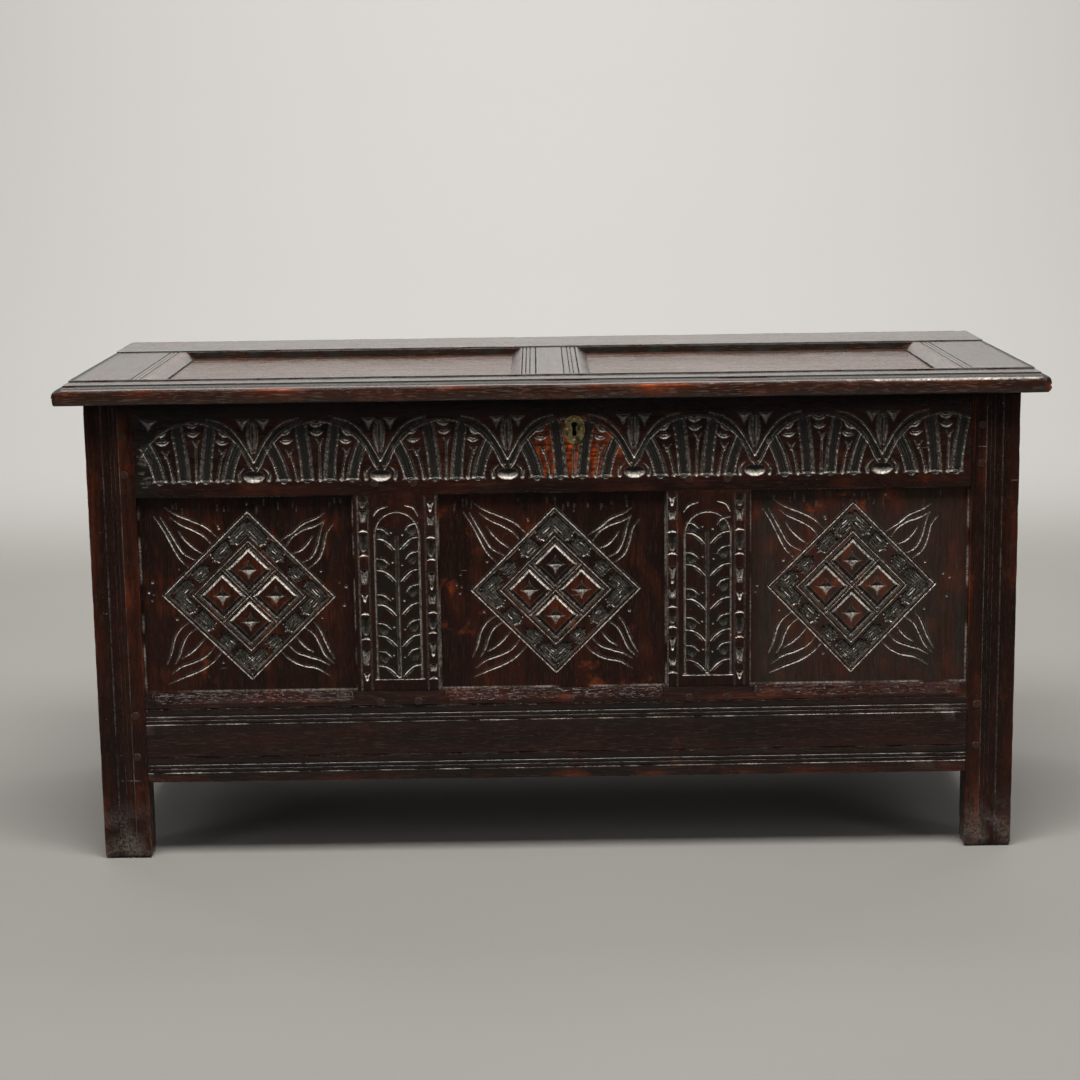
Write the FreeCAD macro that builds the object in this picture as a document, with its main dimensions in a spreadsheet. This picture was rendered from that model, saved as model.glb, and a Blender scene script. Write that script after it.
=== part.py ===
import FreeCAD, Part
import os
import Sketcher

# A joined oak coffer: a framed and panelled carcass, pegged at its mortise and tenon joints, under
# a framed lid that turns on two iron strap hinges. X runs to the right, Y to the back and Z up, from
# the middle of the floor.

# Driving dimensions in millimetres: alias, value, what it is.
DIMENSIONS = (
    ("body_width", 1160, "carcass over the stiles"),
    ("body_depth", 480, "carcass over the stiles, front to back"),
    ("body_height", 587, "floor to the underside of the lid"),
    ("stile_width", 60, "stile, seen from the front"),
    ("stile_depth", 36, "stile, front to back"),
    ("foot_height", 100, "floor to the underside of the bottom rails"),
    ("bottom_rail_top", 216, "floor to the top of the bottom rails"),
    ("top_rail_bottom", 468, "floor to the underside of the top rails"),
    ("rail_thickness", 26, "rails and muntins"),
    ("side_inset", 2, "side rails behind the outer faces of the stiles"),
    ("muntin_width", 104, "front and back muntins"),
    ("left_muntin", -198, "middle of the left muntin"),
    ("right_muntin", 193, "middle of the right muntin"),
    ("side_muntin_width", 90, "muntin of each side"),
    ("setback", 9, "panels behind the faces of their frame"),
    ("groove_width", 8, "panel grooves, tenons and mortises"),
    ("groove_depth", 10, "panel grooves"),
    ("tongue", 8, "edge of a panel that stands in its groove"),
    ("panel_thickness", 12, "middle of a panel"),
    ("panel_rebate", 14, "thinned edge at the back of a panel"),
    ("long_tenon", 36, "tenons of the front and back rails"),
    ("short_tenon", 25, "tenons of the side rails"),
    ("muntin_tenon", 30, "tenons of the muntins"),
    ("shoulder", 10, "tenon shoulders at the edges of a piece"),
    ("play", 1, "room at the end of a mortise"),
    ("reed_wide", 10, "wide reed of the run moulding"),
    ("reed_narrow", 5, "each of the two narrow reeds"),
    ("reed_depth", 2, "depth of the moulding's valleys"),
    ("quirk", 0.8, "slope at each side of the moulding"),
    ("stile_reeds", 20, "moulding from the outer edge of a stile"),
    ("upper_reeds", 196, "top of the bottom rail's upper moulding"),
    ("lower_reeds", 133, "top of the bottom rail's lower moulding"),
    ("chamfer_height", 13, "chamfer on the front bottom rail"),
    ("chamfer_stop", 5, "chamfer short of each post"),
    ("peg_radius", 4.75, "oak pegs of the carcass"),
    ("peg_length", 30, "oak pegs of the carcass"),
    ("peg_proud", 0.5, "peg heads in front of the face"),
    ("peg_inset", 13, "pegs behind the shoulder of a rail"),
    ("peg_spread", 24, "pegs of a muntin from its middle"),
    ("peg_rise", 14, "pegs of a muntin from the edge of the rail"),
    ("board_thickness", 12, "floor boards"),
    ("board_level", 124, "floor to the underside of the boards"),
    ("board_groove", 8, "grooves that hold the boards' ends"),
    ("board_gap", 0.6, "gap between floor boards"),
    ("lid_width", 1230, "lid over its moulded ends"),
    ("lid_depth", 530, "lid, front to back"),
    ("lid_thickness", 25, "frame of the lid"),
    ("lid_front", 64, "front rail of the lid"),
    ("lid_back", 137, "back rail of the lid"),
    ("lid_stile", 123, "end stiles of the lid"),
    ("lid_muntin_middle", -1, "middle of the lid's muntin"),
    ("lid_muntin_width", 102, "lid's muntin with its bevels"),
    ("lid_recess", 10.5, "lid panels below the top of the frame"),
    ("lid_bevel", 15, "bevels of the lid's stiles and muntin"),
    ("lid_rail_bevel", 4, "bevels of the lid's rails"),
    ("lid_land", 1, "upright edge below each bevel"),
    ("lid_reeds", 88, "moulding from the end of the lid"),
    ("muntin_reeds", 17, "moulding from each edge of the lid's muntin"),
    ("nosing", 20, "moulded edge of the lid"),
    ("nosing_step", 1.5, "step where the moulded edge starts"),
    ("nosing_drop", 5.2, "fall of the moulded edge"),
    ("nosing_round", 4, "rounded front of the moulded edge"),
    ("nosing_bow", 1, "swell of the moulded edge's slope"),
    ("lid_peg_radius", 4, "oak pegs of the lid"),
    ("hinge_spacing", 760, "between the middles of the two hinges"),
    ("hinge_width", 40, "leaf and strap"),
    ("hinge_iron", 3, "thickness of leaf and strap"),
    ("strap_length", 104, "strap under the lid"),
    ("strap_gap", 0.2, "flat of the strap short of the back face"),
    ("leaf_length", 78, "leaf below the knuckles"),
    ("knuckle_radius", 5.6, "hinge barrel"),
    ("knuckle_offset", 6, "pin from the back face and from the lid"),
    ("knuckle_width", 14, "middle knuckle, on the strap"),
    ("pin_proud", 1.5, "ends of the pin beyond the outer knuckles"),
    ("pin_radius", 2.5, "hinge pin"),
    ("pin_clearance", 0.05, "middle knuckle round the pin"),
    ("working_gap", 0.3, "room beside things that move"),
    ("nail_radius", 1.3, "wrought nails"),
    ("nail_head", 4, "radius of a nail's head"),
    ("nail_head_height", 1.5, "head of a nail"),
    ("nail_length", 16, "nail below its head"),
    ("leaf_nail_length", 20, "nails of the hinge leaves"),
    ("lock_middle", 27, "lock and keyhole from the middle"),
    ("lock_width", 90, "lock case"),
    ("lock_height", 68, "lock case"),
    ("lock_depth", 17, "lock case, let into the rail"),
    ("lock_wall", 1.5, "iron of the lock case"),
    ("cover_margin", 8, "cover plate beyond the case"),
    ("cover_thickness", 2, "cover plate"),
    ("keyhole_level", 552, "floor to the middle of the keyhole's round"),
    ("keyhole_radius", 4.5, "round of the keyhole"),
    ("keyhole_slot", 2, "half width of the keyhole's slot"),
    ("keyhole_drop", 13, "slot below the middle of the round"),
    ("keyhole_flare", 0.5, "half the widening of the slot at its foot"),
    ("escutcheon_width", 26.5, "oval brass plate"),
    ("escutcheon_height", 36, "oval brass plate"),
    ("escutcheon_thickness", 1.2, "oval brass plate"),
    ("escutcheon_level", 546, "floor to the middle of the plate"),
    ("tack_radius", 0.8, "brass pins of the plate"),
    ("tack_head", 1.5, "radius of the heads of the brass pins"),
    ("tack_head_height", 0.8, "heads of the brass pins"),
    ("tack_length", 7, "brass pins below their heads"),
    ("bolt_throw", 12, "travel of the lock bolt"),
    ("bolt_length", 50, "lock bolt"),
    ("bolt_height", 10, "lock bolt"),
    ("bolt_thickness", 4.4, "lock bolt"),
    ("bolt_level", 564, "floor to the underside of the bolt"),
    ("lug_width", 14, "lug below the bolt, that the key pushes"),
    ("lug_drop", 5, "lug below the bolt"),
    ("talon_width", 6, "notch of the lug"),
    ("guide_width", 4, "guides of the bolt, in the case"),
    ("guide_gap", 0.2, "guides from the bolt"),
    ("spring_leaf", 0.8, "spring above the bolt"),
    ("spring_rise", 4, "bow of the spring"),
    ("staple_offset", 24, "staple from the keyhole"),
    ("staple_iron", 3, "bar of the staple's loop"),
    ("staple_reach", 28, "loop below the lid"),
    ("staple_eye", 6, "eye of the loop, front to back"),
    ("staple_breadth", 4, "loop, along the bolt"),
    ("staple_plate", 44, "plate of the staple, along the lid"),
    ("plate_iron", 2, "plate of the staple, let into the lid"),
    ("staple_margin", 8, "plate of the staple in front of and behind its loop"),
    ("staple_nail_inset", 6, "nails from the ends of the staple's plate"),
    ("eye_headroom", 3, "eye of the loop above the bolt"),
    ("mouth_room", 2, "mouth of the lock at each side of the loop"),
)

BOARDS = 5
FOOT_PEG_LEVELS = (134, 188)
TOP_PEG_LEVELS = (497, 545)

# Nails across a hinge and away from its back edge or its pin.
STRAP_NAILS = ((-10, 40), (10, 62), (0, 90))
LEAF_NAILS = ((-12, 22), (12, 22), (-12, 70), (12, 70))

# Pins of the brass plate, as shares of its half width and half height.
TACKS = ((0, 0.76), (0, -0.68), (-0.66, 0.08), (0.66, 0.08))

# Where the plate's end arcs meet its side arcs, as shares of its half width and half height.
PLATE_SHOULDER = (0.74, 0.67)

HEAD_TAPER = 0.6
EIGHTH_TURN_FALL = 0.293

doc = FreeCAD.newDocument("coffer")
sheet = doc.addObject("Spreadsheet::Sheet", "Sheet")
pieces = []


class Size:
    """A length, both as a spreadsheet expression and as the number that it comes to."""

    def __init__(self, text, value):
        self.text = text
        self.value = value

    @staticmethod
    def of(length):
        return length if isinstance(length, Size) else Size(f"{float(length)}", float(length))

    def __add__(self, other):
        other = Size.of(other)
        return Size(f"({self.text} + {other.text})", self.value + other.value)

    def __sub__(self, other):
        other = Size.of(other)
        return Size(f"({self.text} - {other.text})", self.value - other.value)

    def __mul__(self, other):
        other = Size.of(other)
        return Size(f"({self.text} * {other.text})", self.value * other.value)

    def __truediv__(self, other):
        other = Size.of(other)
        return Size(f"({self.text} / {other.text})", self.value / other.value)

    def __neg__(self):
        return Size("0", 0.0) - self

    def __radd__(self, other):
        return Size.of(other) + self

    def __rsub__(self, other):
        return Size.of(other) - self

    def __rmul__(self, other):
        return Size.of(other) * self


class Sizes:
    """The driving dimensions by name, each one tied to its cell."""


def fill_sheet():
    sizes = Sizes()
    for row, (alias, value, note) in enumerate(DIMENSIONS, start=1):
        sheet.set(f"A{row}", alias)
        sheet.set(f"B{row}", str(value))
        sheet.set(f"C{row}", note)
        sheet.setAlias(f"B{row}", alias)
        setattr(sizes, alias, Size(f"Sheet.{alias}", float(value)))
    doc.recompute()
    return sizes


d = fill_sheet()
half_width = d.body_width / 2
half_depth = d.body_depth / 2
stile_inner = half_width - d.stile_width
stile_back = half_depth - d.stile_depth
lid_top = d.body_height + d.lid_thickness
tenon_layer = (d.setback, d.setback + d.groove_width)


# ---- Solids from named sizes ----


def box(name, xs, ys, zs):
    """A block between two limits along each axis, given in either order."""
    block = doc.addObject("Part::Box", name)
    for side, axis, limits in zip(("Length", "Width", "Height"), "xyz", (xs, ys, zs)):
        low, high = sorted((Size.of(limit) for limit in limits), key=lambda size: size.value)
        block.setExpression(side, (high - low).text)
        block.setExpression(f"Placement.Base.{axis}", low.text)
    return block


def place(thing, at):
    for axis, length in zip("xyz", at):
        thing.setExpression(f"Placement.Base.{axis}", Size.of(length).text)


TURNS = {
    "+x": FreeCAD.Rotation(FreeCAD.Vector(0, 1, 0), 90),
    "-x": FreeCAD.Rotation(FreeCAD.Vector(0, 1, 0), -90),
    "+y": FreeCAD.Rotation(FreeCAD.Vector(1, 0, 0), -90),
    "-y": FreeCAD.Rotation(FreeCAD.Vector(1, 0, 0), 90),
    "+z": FreeCAD.Rotation(),
    "-z": FreeCAD.Rotation(FreeCAD.Vector(1, 0, 0), 180),
}


def rod(name, direction, radius, at, length):
    """A round bar that starts at a point and runs along an axis."""
    bar = doc.addObject("Part::Cylinder", name)
    bar.Placement = FreeCAD.Placement(FreeCAD.Vector(), TURNS[direction])
    bar.setExpression("Radius", Size.of(radius).text)
    bar.setExpression("Height", Size.of(length).text)
    place(bar, at)
    return bar


def cone(name, direction, radius, tip_radius, at, length):
    """A round taper that starts at a point and runs along an axis."""
    taper = doc.addObject("Part::Cone", name)
    taper.Placement = FreeCAD.Placement(FreeCAD.Vector(), TURNS[direction])
    taper.setExpression("Radius1", Size.of(radius).text)
    taper.setExpression("Radius2", Size.of(tip_radius).text)
    taper.setExpression("Height", Size.of(length).text)
    place(taper, at)
    return taper


def fuse(name, *solids):
    joined = doc.addObject("Part::MultiFuse", name)
    joined.Shapes = list(solids)
    joined.Refine = True
    return joined


def cut(name, base, *tools):
    result = doc.addObject("Part::Cut", name)
    result.Base = base
    result.Tool = tools[0] if len(tools) == 1 else fuse(f"{name}_waste", *tools)
    result.Refine = True
    return result


def common(name, base, tool):
    result = doc.addObject("Part::Common", name)
    result.Base = base
    result.Tool = tool
    result.Refine = True
    return result


def group(name, solids):
    compound = doc.addObject("Part::Compound", name)
    compound.Links = list(solids)
    return compound


def piece(label, solid):
    """Names a finished piece of the coffer."""
    solid.Label = label
    pieces.append(solid)
    return solid


PLANES = {"x": "YZ_Plane", "y": "XZ_Plane", "z": "XY_Plane"}


def arc_radius(chord, rise):
    return chord * chord / (rise * 8) + rise / 2


def chord_drop(radius, half):
    """How far below a circle's middle a level chord lies that is half wide at each side."""
    drop = (radius.value**2 - half.value**2) ** 0.5
    return Size(f"sqrt({radius.text} * {radius.text} - {half.text} * {half.text})", drop)


def pad(name, axis, outline, start, length):
    """A body whose one sketch is padded along an axis. The outline holds (a, b) for a straight run to
    that point and (a, b, middle_a, middle_b, radius) for an arc to it."""
    body = doc.addObject("PartDesign::Body", name)
    sketch = body.newObject("Sketcher::SketchObject", f"{name}_sketch")
    plane = [item for item in body.Origin.OriginFeatures if item.Role == PLANES[axis]][0]
    sketch.AttachmentSupport = [(plane, "")]
    sketch.MapMode = "FlatFace"
    reverse = axis == "y"
    offset = -Size.of(start) if reverse else Size.of(start)
    sketch.setExpression("AttachmentOffset.Base.z", offset.text)
    corners = [tuple(Size.of(length) for length in corner) for corner in outline]
    count = len(corners)
    points = [FreeCAD.Vector(corner[0].value, corner[1].value, 0) for corner in corners]
    for index, corner in enumerate(corners):
        first, last = points[index - 1], points[index]
        if len(corner) == 2:
            sketch.addGeometry(Part.LineSegment(first, last), False)
        else:
            middle = FreeCAD.Vector(corner[2].value, corner[3].value, 0)
            sketch.addGeometry(Part.Arc(first, middle, last), False)
    ends = [end_of_edge(sketch, index, points[index]) for index in range(count)]
    starts = [3 - end for end in ends]
    for index, corner in enumerate(corners):
        after = (index + 1) % count
        sketch.addConstraint(Sketcher.Constraint("Coincident", index, ends[index], after, starts[after]))
        for kind, away in (("DistanceX", corner[0]), ("DistanceY", corner[1])):
            rule = Sketcher.Constraint(kind, -1, 1, index, ends[index], away.value)
            number = sketch.addConstraint(rule)
            sketch.setExpression(f"Constraints[{number}]", away.text)
        if len(corner) == 5:
            number = sketch.addConstraint(Sketcher.Constraint("Radius", index, corner[4].value))
            sketch.setExpression(f"Constraints[{number}]", corner[4].text)
    feature = body.newObject("PartDesign::Pad", f"{name}_pad")
    feature.Profile = sketch
    feature.Reversed = reverse
    feature.setExpression("Length", Size.of(length).text)
    return body


def end_of_edge(sketch, index, point):
    """Which end, 1 or 2, of an edge lies at a point: an arc keeps its own sense of turn."""
    return 2 if sketch.getPoint(index, 2).distanceToPoint(point) < 1e-6 else 1


def reeds(put, start, toward, face, inward, widths):
    """The moulding's section: reeds side by side, with their crowns level with the face. put turns a
    place across the face and a depth into a corner of the sketch."""
    here = start + toward * d.quirk
    valley = face + inward * d.reed_depth
    corners = [put(start, face), put(here, valley)]
    for width in widths:
        middle = here + toward * width / 2
        here = here + toward * width
        radius = arc_radius(width, d.reed_depth)
        corners.append((*put(here, valley), *put(middle, face), radius))
    corners.append(put(here + toward * d.quirk, face))
    return corners


# ---- Walls of the carcass ----


class Wall:
    """One wall: its pieces are placed along it, by their depth behind its face, and by height."""

    def __init__(self, name, along, sign):
        self.name = name
        self.along = along
        self.sign = sign
        is_long = along == "x"
        self.face = half_depth if is_long else half_width - d.side_inset
        self.span = stile_inner if is_long else stile_back
        self.tenon = d.long_tenon if is_long else d.short_tenon
        self.post_face = Size.of(0) if is_long else -d.side_inset
        self.muntins = ()
        self.panels = ()

    def depth(self, behind):
        return self.sign * (self.face - behind)

    def box(self, name, along, behind, heights):
        deep = tuple(self.depth(value) for value in behind)
        if self.along == "x":
            return box(name, along, deep, heights)
        return box(name, deep, along, heights)

    def peg(self, name, along, start, height):
        inward = "-" if self.sign > 0 else "+"
        if self.along == "x":
            at = (along, self.depth(start), height)
            return rod(name, f"{inward}y", d.peg_radius, at, d.peg_length)
        at = (self.depth(start), along, height)
        return rod(name, f"{inward}x", d.peg_radius, at, d.peg_length)


top_tenon = (d.top_rail_bottom + d.shoulder, d.body_height - d.shoulder)
bottom_tenon = (d.foot_height + d.shoulder, d.bottom_rail_top - d.shoulder)


def wall_pegs(wall):
    """Two pegs through each tenon of a wall."""
    pegs = []
    post_start = wall.post_face - d.peg_proud
    for side in (-1, 1):
        for level in FOOT_PEG_LEVELS + TOP_PEG_LEVELS:
            along = side * (wall.span + d.peg_inset)
            pegs.append(wall.peg(f"{wall.name}_post_peg", along, post_start, level))
        for _, middle, _ in wall.muntins:
            for level in (d.bottom_rail_top - d.peg_rise, d.top_rail_bottom + d.peg_rise):
                along = middle + side * d.peg_spread
                pegs.append(wall.peg(f"{wall.name}_muntin_peg", along, -d.peg_proud, level))
    return pegs


def muntin_mortises(wall, heights):
    cuts = []
    for _, middle, width in wall.muntins:
        reach = width / 2 - d.shoulder
        cuts.append(wall.box(f"{wall.name}_mortise", (middle - reach, middle + reach), tenon_layer, heights))
    return cuts


def rail(wall, level, pegs, block=None, cuts=()):
    """A top or bottom rail: tenons in line with the panel groove, and mortises for the muntins."""
    name = f"{wall.name}_{level}_rail"
    is_top = level == "top"
    low, high = (d.top_rail_bottom, d.body_height) if is_top else (d.foot_height, d.bottom_rail_top)
    edge, into = (low, 1) if is_top else (high, -1)
    ends = (-wall.span, wall.span)
    reach = wall.span + wall.tenon
    if block is None:
        block = wall.box(f"{name}_block", ends, (0, d.rail_thickness), (low, high))
    tenons = wall.box(f"{name}_tenons", (-reach, reach), tenon_layer, top_tenon if is_top else bottom_tenon)
    groove = wall.box(f"{name}_groove", ends, tenon_layer, (edge, edge + into * d.groove_depth))
    mortises = muntin_mortises(wall, (edge, edge + into * (d.muntin_tenon + d.play)))
    waste = [groove, *mortises, pegs, *cuts]
    if not is_top and wall.along == "x":
        layer = (d.rail_thickness - d.board_groove, d.rail_thickness)
        levels = (d.board_level, d.board_level + d.board_thickness)
        waste.append(wall.box(f"{name}_board_groove", ends, layer, levels))
    return piece(name, cut(name, fuse(f"{name}_whole", block, tenons), *waste))


def muntin(wall, label, middle, width, pegs):
    """An upright between two rails, tenoned into both and grooved for a panel at each side."""
    name = f"{wall.name}_{label}" if label else wall.name
    name = f"{name}_muntin"
    sides = (middle - width / 2, middle + width / 2)
    heights = (d.bottom_rail_top, d.top_rail_bottom)
    block = wall.box(f"{name}_block", sides, (0, d.rail_thickness), heights)
    reach = width / 2 - d.shoulder
    tall = (d.bottom_rail_top - d.muntin_tenon, d.top_rail_bottom + d.muntin_tenon)
    tenons = wall.box(f"{name}_tenons", (middle - reach, middle + reach), tenon_layer, tall)
    grooves = []
    for side, into in zip(sides, (1, -1)):
        grooves.append(wall.box(f"{name}_groove", (side, side + into * d.groove_depth), tenon_layer, heights))
    return piece(name, cut(name, fuse(f"{name}_whole", block, tenons), *grooves, pegs))


def panel(wall, label, left, right):
    """A panel whose edges stand in the grooves, thinned at the back to enter them."""
    name = f"{wall.name}_{label}_panel"
    low = d.bottom_rail_top
    high = d.top_rail_bottom
    field = d.setback + d.groove_width
    back = d.setback + d.panel_thickness
    sheet_edges = (left - d.tongue, right + d.tongue)
    thin = wall.box(f"{name}_edge", sheet_edges, (d.setback, field), (low - d.tongue, high + d.tongue))
    inner = (left + d.panel_rebate, right - d.panel_rebate)
    levels = (low + d.panel_rebate, high - d.panel_rebate)
    thick = wall.box(f"{name}_field", inner, (field, back), levels)
    return piece(name, fuse(name, thin, thick))


def make_walls():
    long_muntins = (("left", d.left_muntin, d.muntin_width), ("right", d.right_muntin, d.muntin_width))
    side_muntins = (("", Size.of(0), d.side_muntin_width),)
    walls = (
        Wall("front", "x", -1),
        Wall("back", "x", 1),
        Wall("left_side", "y", -1),
        Wall("right_side", "y", 1),
    )
    for wall in walls:
        is_long = wall.along == "x"
        wall.muntins = long_muntins if is_long else side_muntins
        wall.panels = ("left", "middle", "right") if is_long else ("front", "back")
    return walls


def make_panels(wall):
    edges = [-wall.span]
    for _, middle, width in wall.muntins:
        edges += [middle - width / 2, middle + width / 2]
    edges.append(wall.span)
    for label, left, right in zip(wall.panels, edges[0::2], edges[1::2]):
        panel(wall, label, left, right)


def stile(label, side, end, walls, pegs):
    """A corner post, moulded on its front face if it stands in front, and mortised for four rails."""

    def put(from_edge, behind):
        return (side * (half_width - from_edge), end * (half_depth - behind))

    zero = Size.of(0)
    outline = [put(zero, zero)]
    if end < 0:
        widths = (d.reed_wide, d.reed_narrow, d.reed_narrow)
        outline += reeds(put, d.stile_reeds, 1, zero, 1, widths)
    outline += [put(d.stile_width, zero), put(d.stile_width, d.stile_depth), put(zero, d.stile_depth)]
    post = pad(f"{label}_post", "z", outline, 0, d.body_height)
    waste = [pegs]
    for wall in walls:
        sense = side if wall.along == "x" else end
        if wall.sign != (end if wall.along == "x" else side):
            continue
        deep = (sense * wall.span, sense * (wall.span + wall.tenon + d.play))
        shallow = (sense * wall.span, sense * (wall.span + d.groove_depth))
        for levels in (bottom_tenon, top_tenon):
            waste.append(wall.box(f"{label}_mortise", deep, tenon_layer, levels))
        between = (bottom_tenon[1], top_tenon[0])
        waste.append(wall.box(f"{label}_groove", shallow, tenon_layer, between))
    return piece(label, cut(label, post, *waste))


def bottom_rail_block():
    """The front bottom rail's section, with its two run mouldings, along the front."""
    face = -half_depth
    back = face + d.rail_thickness
    widths = (d.reed_wide, d.reed_narrow, d.reed_narrow)

    def put(height, depth):
        return (depth, height)

    outline = [(back, d.foot_height), (back, d.bottom_rail_top), (face, d.bottom_rail_top)]
    for start in (d.upper_reeds, d.lower_reeds):
        outline += reeds(put, start, -1, face, 1, widths)
    outline.append((face, d.foot_height))
    return pad("front_bottom_section", "x", outline, -stile_inner, stile_inner * 2)


def bottom_rail_chamfers(wall):
    """A chamfer below each front panel, stopped short of the posts and muntins."""
    face = -half_depth
    top = d.bottom_rail_top
    outline = [(face, top), (face, top - d.chamfer_height), (face + d.setback - d.lid_land, top)]
    edges = [-wall.span]
    for _, middle, width in wall.muntins:
        edges += [middle - width / 2, middle + width / 2]
    edges.append(wall.span)
    chamfers = []
    for left, right in zip(edges[0::2], edges[1::2]):
        start = left + d.chamfer_stop
        chamfers.append(pad("chamfer", "x", outline, start, right - d.chamfer_stop - start))
    return chamfers


def floor_boards():
    """Boards from front to back, their ends held in the grooves of the two bottom rails."""
    inside = half_width - d.side_inset - d.rail_thickness
    reach = half_depth - d.rail_thickness + d.board_groove - d.play
    levels = (d.board_level, d.board_level + d.board_thickness)
    step = inside * 2 / BOARDS
    for index in range(BOARDS):
        name = f"floor_board_{index + 1}"
        left = step * index - inside
        sides = (left + d.board_gap / 2, left + step - d.board_gap / 2)
        board = box(f"{name}_board", sides, (-reach, reach), levels)
        if index not in (0, BOARDS - 1):
            piece(name, board)
            continue
        side = -1 if index == 0 else 1
        notches = []
        for end in (-1, 1):
            across = (side * (stile_inner - d.board_gap), side * half_width)
            along = (end * (stile_back - d.board_gap), end * half_depth)
            notches.append(box(f"{name}_notch", across, along, levels))
        piece(name, cut(name, board, *notches))


# ---- Lid ----

lid_half = d.lid_width / 2
lid_front_edge = -d.lid_depth / 2
lid_back_edge = d.lid_depth / 2
front_joint = lid_front_edge + d.lid_front
back_joint = lid_back_edge - d.lid_back
stile_joint = lid_half - d.lid_stile
lid_floor = lid_top - d.lid_recess
lid_groove = (lid_floor - d.groove_width, lid_floor)


def nosing(put):
    """The lid's moulded edge, from its top flat to the underside: put takes a place from the edge and
    a height."""
    slope_top = lid_top - d.nosing_step
    slope_foot = slope_top - d.nosing_drop + d.nosing_step
    front_foot = slope_foot - d.nosing_round
    half_way = (d.nosing + d.nosing_round) / 2
    crown = (slope_top + slope_foot) / 2 + d.nosing_bow
    bend = d.nosing_round * EIGHTH_TURN_FALL
    slope_chord = d.nosing - d.nosing_round
    zero = Size.of(0)
    return [
        put(d.nosing, lid_top),
        put(d.nosing, slope_top),
        (*put(d.nosing_round, slope_foot), *put(half_way, crown), arc_radius(slope_chord, d.nosing_bow)),
        (*put(zero, front_foot), *put(bend, slope_foot - bend), d.nosing_round),
        put(zero, d.body_height + d.nosing_step),
        put(d.nosing_step, d.body_height),
    ]


def lid_form():
    """The outside of the whole lid: moulded at the front and both ends, plain at the back."""

    def at_front(from_edge, height):
        return (lid_front_edge + from_edge, height)

    def at_left(from_edge, height):
        return (from_edge - lid_half, height)

    def at_right(from_edge, height):
        return (lid_half - from_edge, height)

    side_outline = nosing(at_front) + [(lid_back_edge, d.body_height), (lid_back_edge, lid_top)]
    end_outline = nosing(at_left) + nosing(at_right)[::-1]
    long_form = pad("lid_section", "x", side_outline, -lid_half, d.lid_width)
    end_form = pad("lid_end_section", "y", straight_back(end_outline), lid_front_edge, d.lid_depth)
    return common("lid_form", long_form, end_form)


def straight_back(outline):
    """Gives each arc of a mirrored half to the corner that now ends it."""
    count = len(outline)
    half = count // 2
    turned = list(outline[:half])
    for index in range(half, count):
        corner = outline[index][:2]
        before = outline[index - 1]
        arc = before[2:] if index > half and len(before) == 5 else ()
        turned.append((*corner, *arc))
    return turned


def lid_stile_outline(side):
    """An end stile's section, inner edge bevelled down to the panel."""
    outer = lid_half
    inner = stile_joint

    def put(across, height):
        return (side * across, height)

    outline = [put(inner, d.body_height), put(outer, d.body_height), put(outer, lid_top)]
    outline += reeds(put, outer - d.lid_reeds, -1, lid_top, -1, (d.reed_narrow, d.reed_narrow))
    outline += [
        put(inner + d.lid_bevel, lid_top),
        put(inner, lid_floor + d.lid_land),
        put(inner, lid_groove[1]),
        put(inner + d.groove_depth, lid_groove[1]),
        put(inner + d.groove_depth, lid_groove[0]),
        put(inner, lid_groove[0]),
    ]
    return outline


def lid_muntin_outline():
    """The lid's muntin: a bevel, a reeded band, a flat field, a reeded band and a bevel."""
    half = d.lid_muntin_width / 2
    middle = d.lid_muntin_middle
    widths = (d.reed_wide, d.reed_narrow)

    def left(from_edge, height):
        return (middle - half + from_edge, height)

    def right(from_edge, height):
        return (middle + half - from_edge, height)

    def edge(put):
        zero = Size.of(0)
        return [
            put(zero, d.body_height),
            put(zero, lid_groove[0]),
            put(d.groove_depth, lid_groove[0]),
            put(d.groove_depth, lid_groove[1]),
            put(zero, lid_groove[1]),
            put(zero, lid_floor + d.lid_land),
            put(d.lid_bevel, lid_top),
        ]

    across = edge(left) + reeds(left, d.muntin_reeds, 1, lid_top, -1, widths)
    back = edge(right) + reeds(right, d.muntin_reeds, 1, lid_top, -1, widths)
    return straight_back(across + back[::-1])


def lid_rail(label, outer, joint, form, extra):
    """A long rail of the lid, mortised for the stiles and the muntin and grooved for the panels."""
    into = 1 if outer.value > joint.value else -1
    block = box(f"{label}_block", (-lid_half, lid_half), (outer, joint), (d.body_height, lid_top))
    groove_ends = (-stile_joint - d.groove_depth, stile_joint + d.groove_depth)
    waste = [box(f"{label}_groove", groove_ends, (joint, joint + into * d.groove_depth), lid_groove)]
    mortise = (joint, joint + into * (d.muntin_tenon + d.play))
    for along in lid_tenons():
        waste.append(box(f"{label}_mortise", along, mortise, lid_groove))
    half = d.lid_muntin_width / 2
    muntin_left = d.lid_muntin_middle - half
    muntin_right = d.lid_muntin_middle + half
    outline = [(joint, lid_top), (joint + into * d.lid_rail_bevel, lid_top), (joint, lid_floor + d.lid_land)]
    for left, right in ((-stile_joint, muntin_left), (muntin_right, stile_joint)):
        waste.append(pad(f"{label}_bevel", "x", outline, left, right - left))
    shaped = common(f"{label}_shaped", block, form)
    return piece(label, cut(label, shaped, *waste, *extra))


def lid_tenons():
    """Where the tenons of the left stile, the muntin and the right stile stand along the rails."""
    inner = stile_joint + d.groove_depth
    outer = lid_half - d.nosing - d.shoulder * 2
    reach = d.lid_muntin_width / 2 - d.groove_depth
    middle = d.lid_muntin_middle
    return ((-outer, -inner), (middle - reach, middle + reach), (inner, outer))


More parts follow.
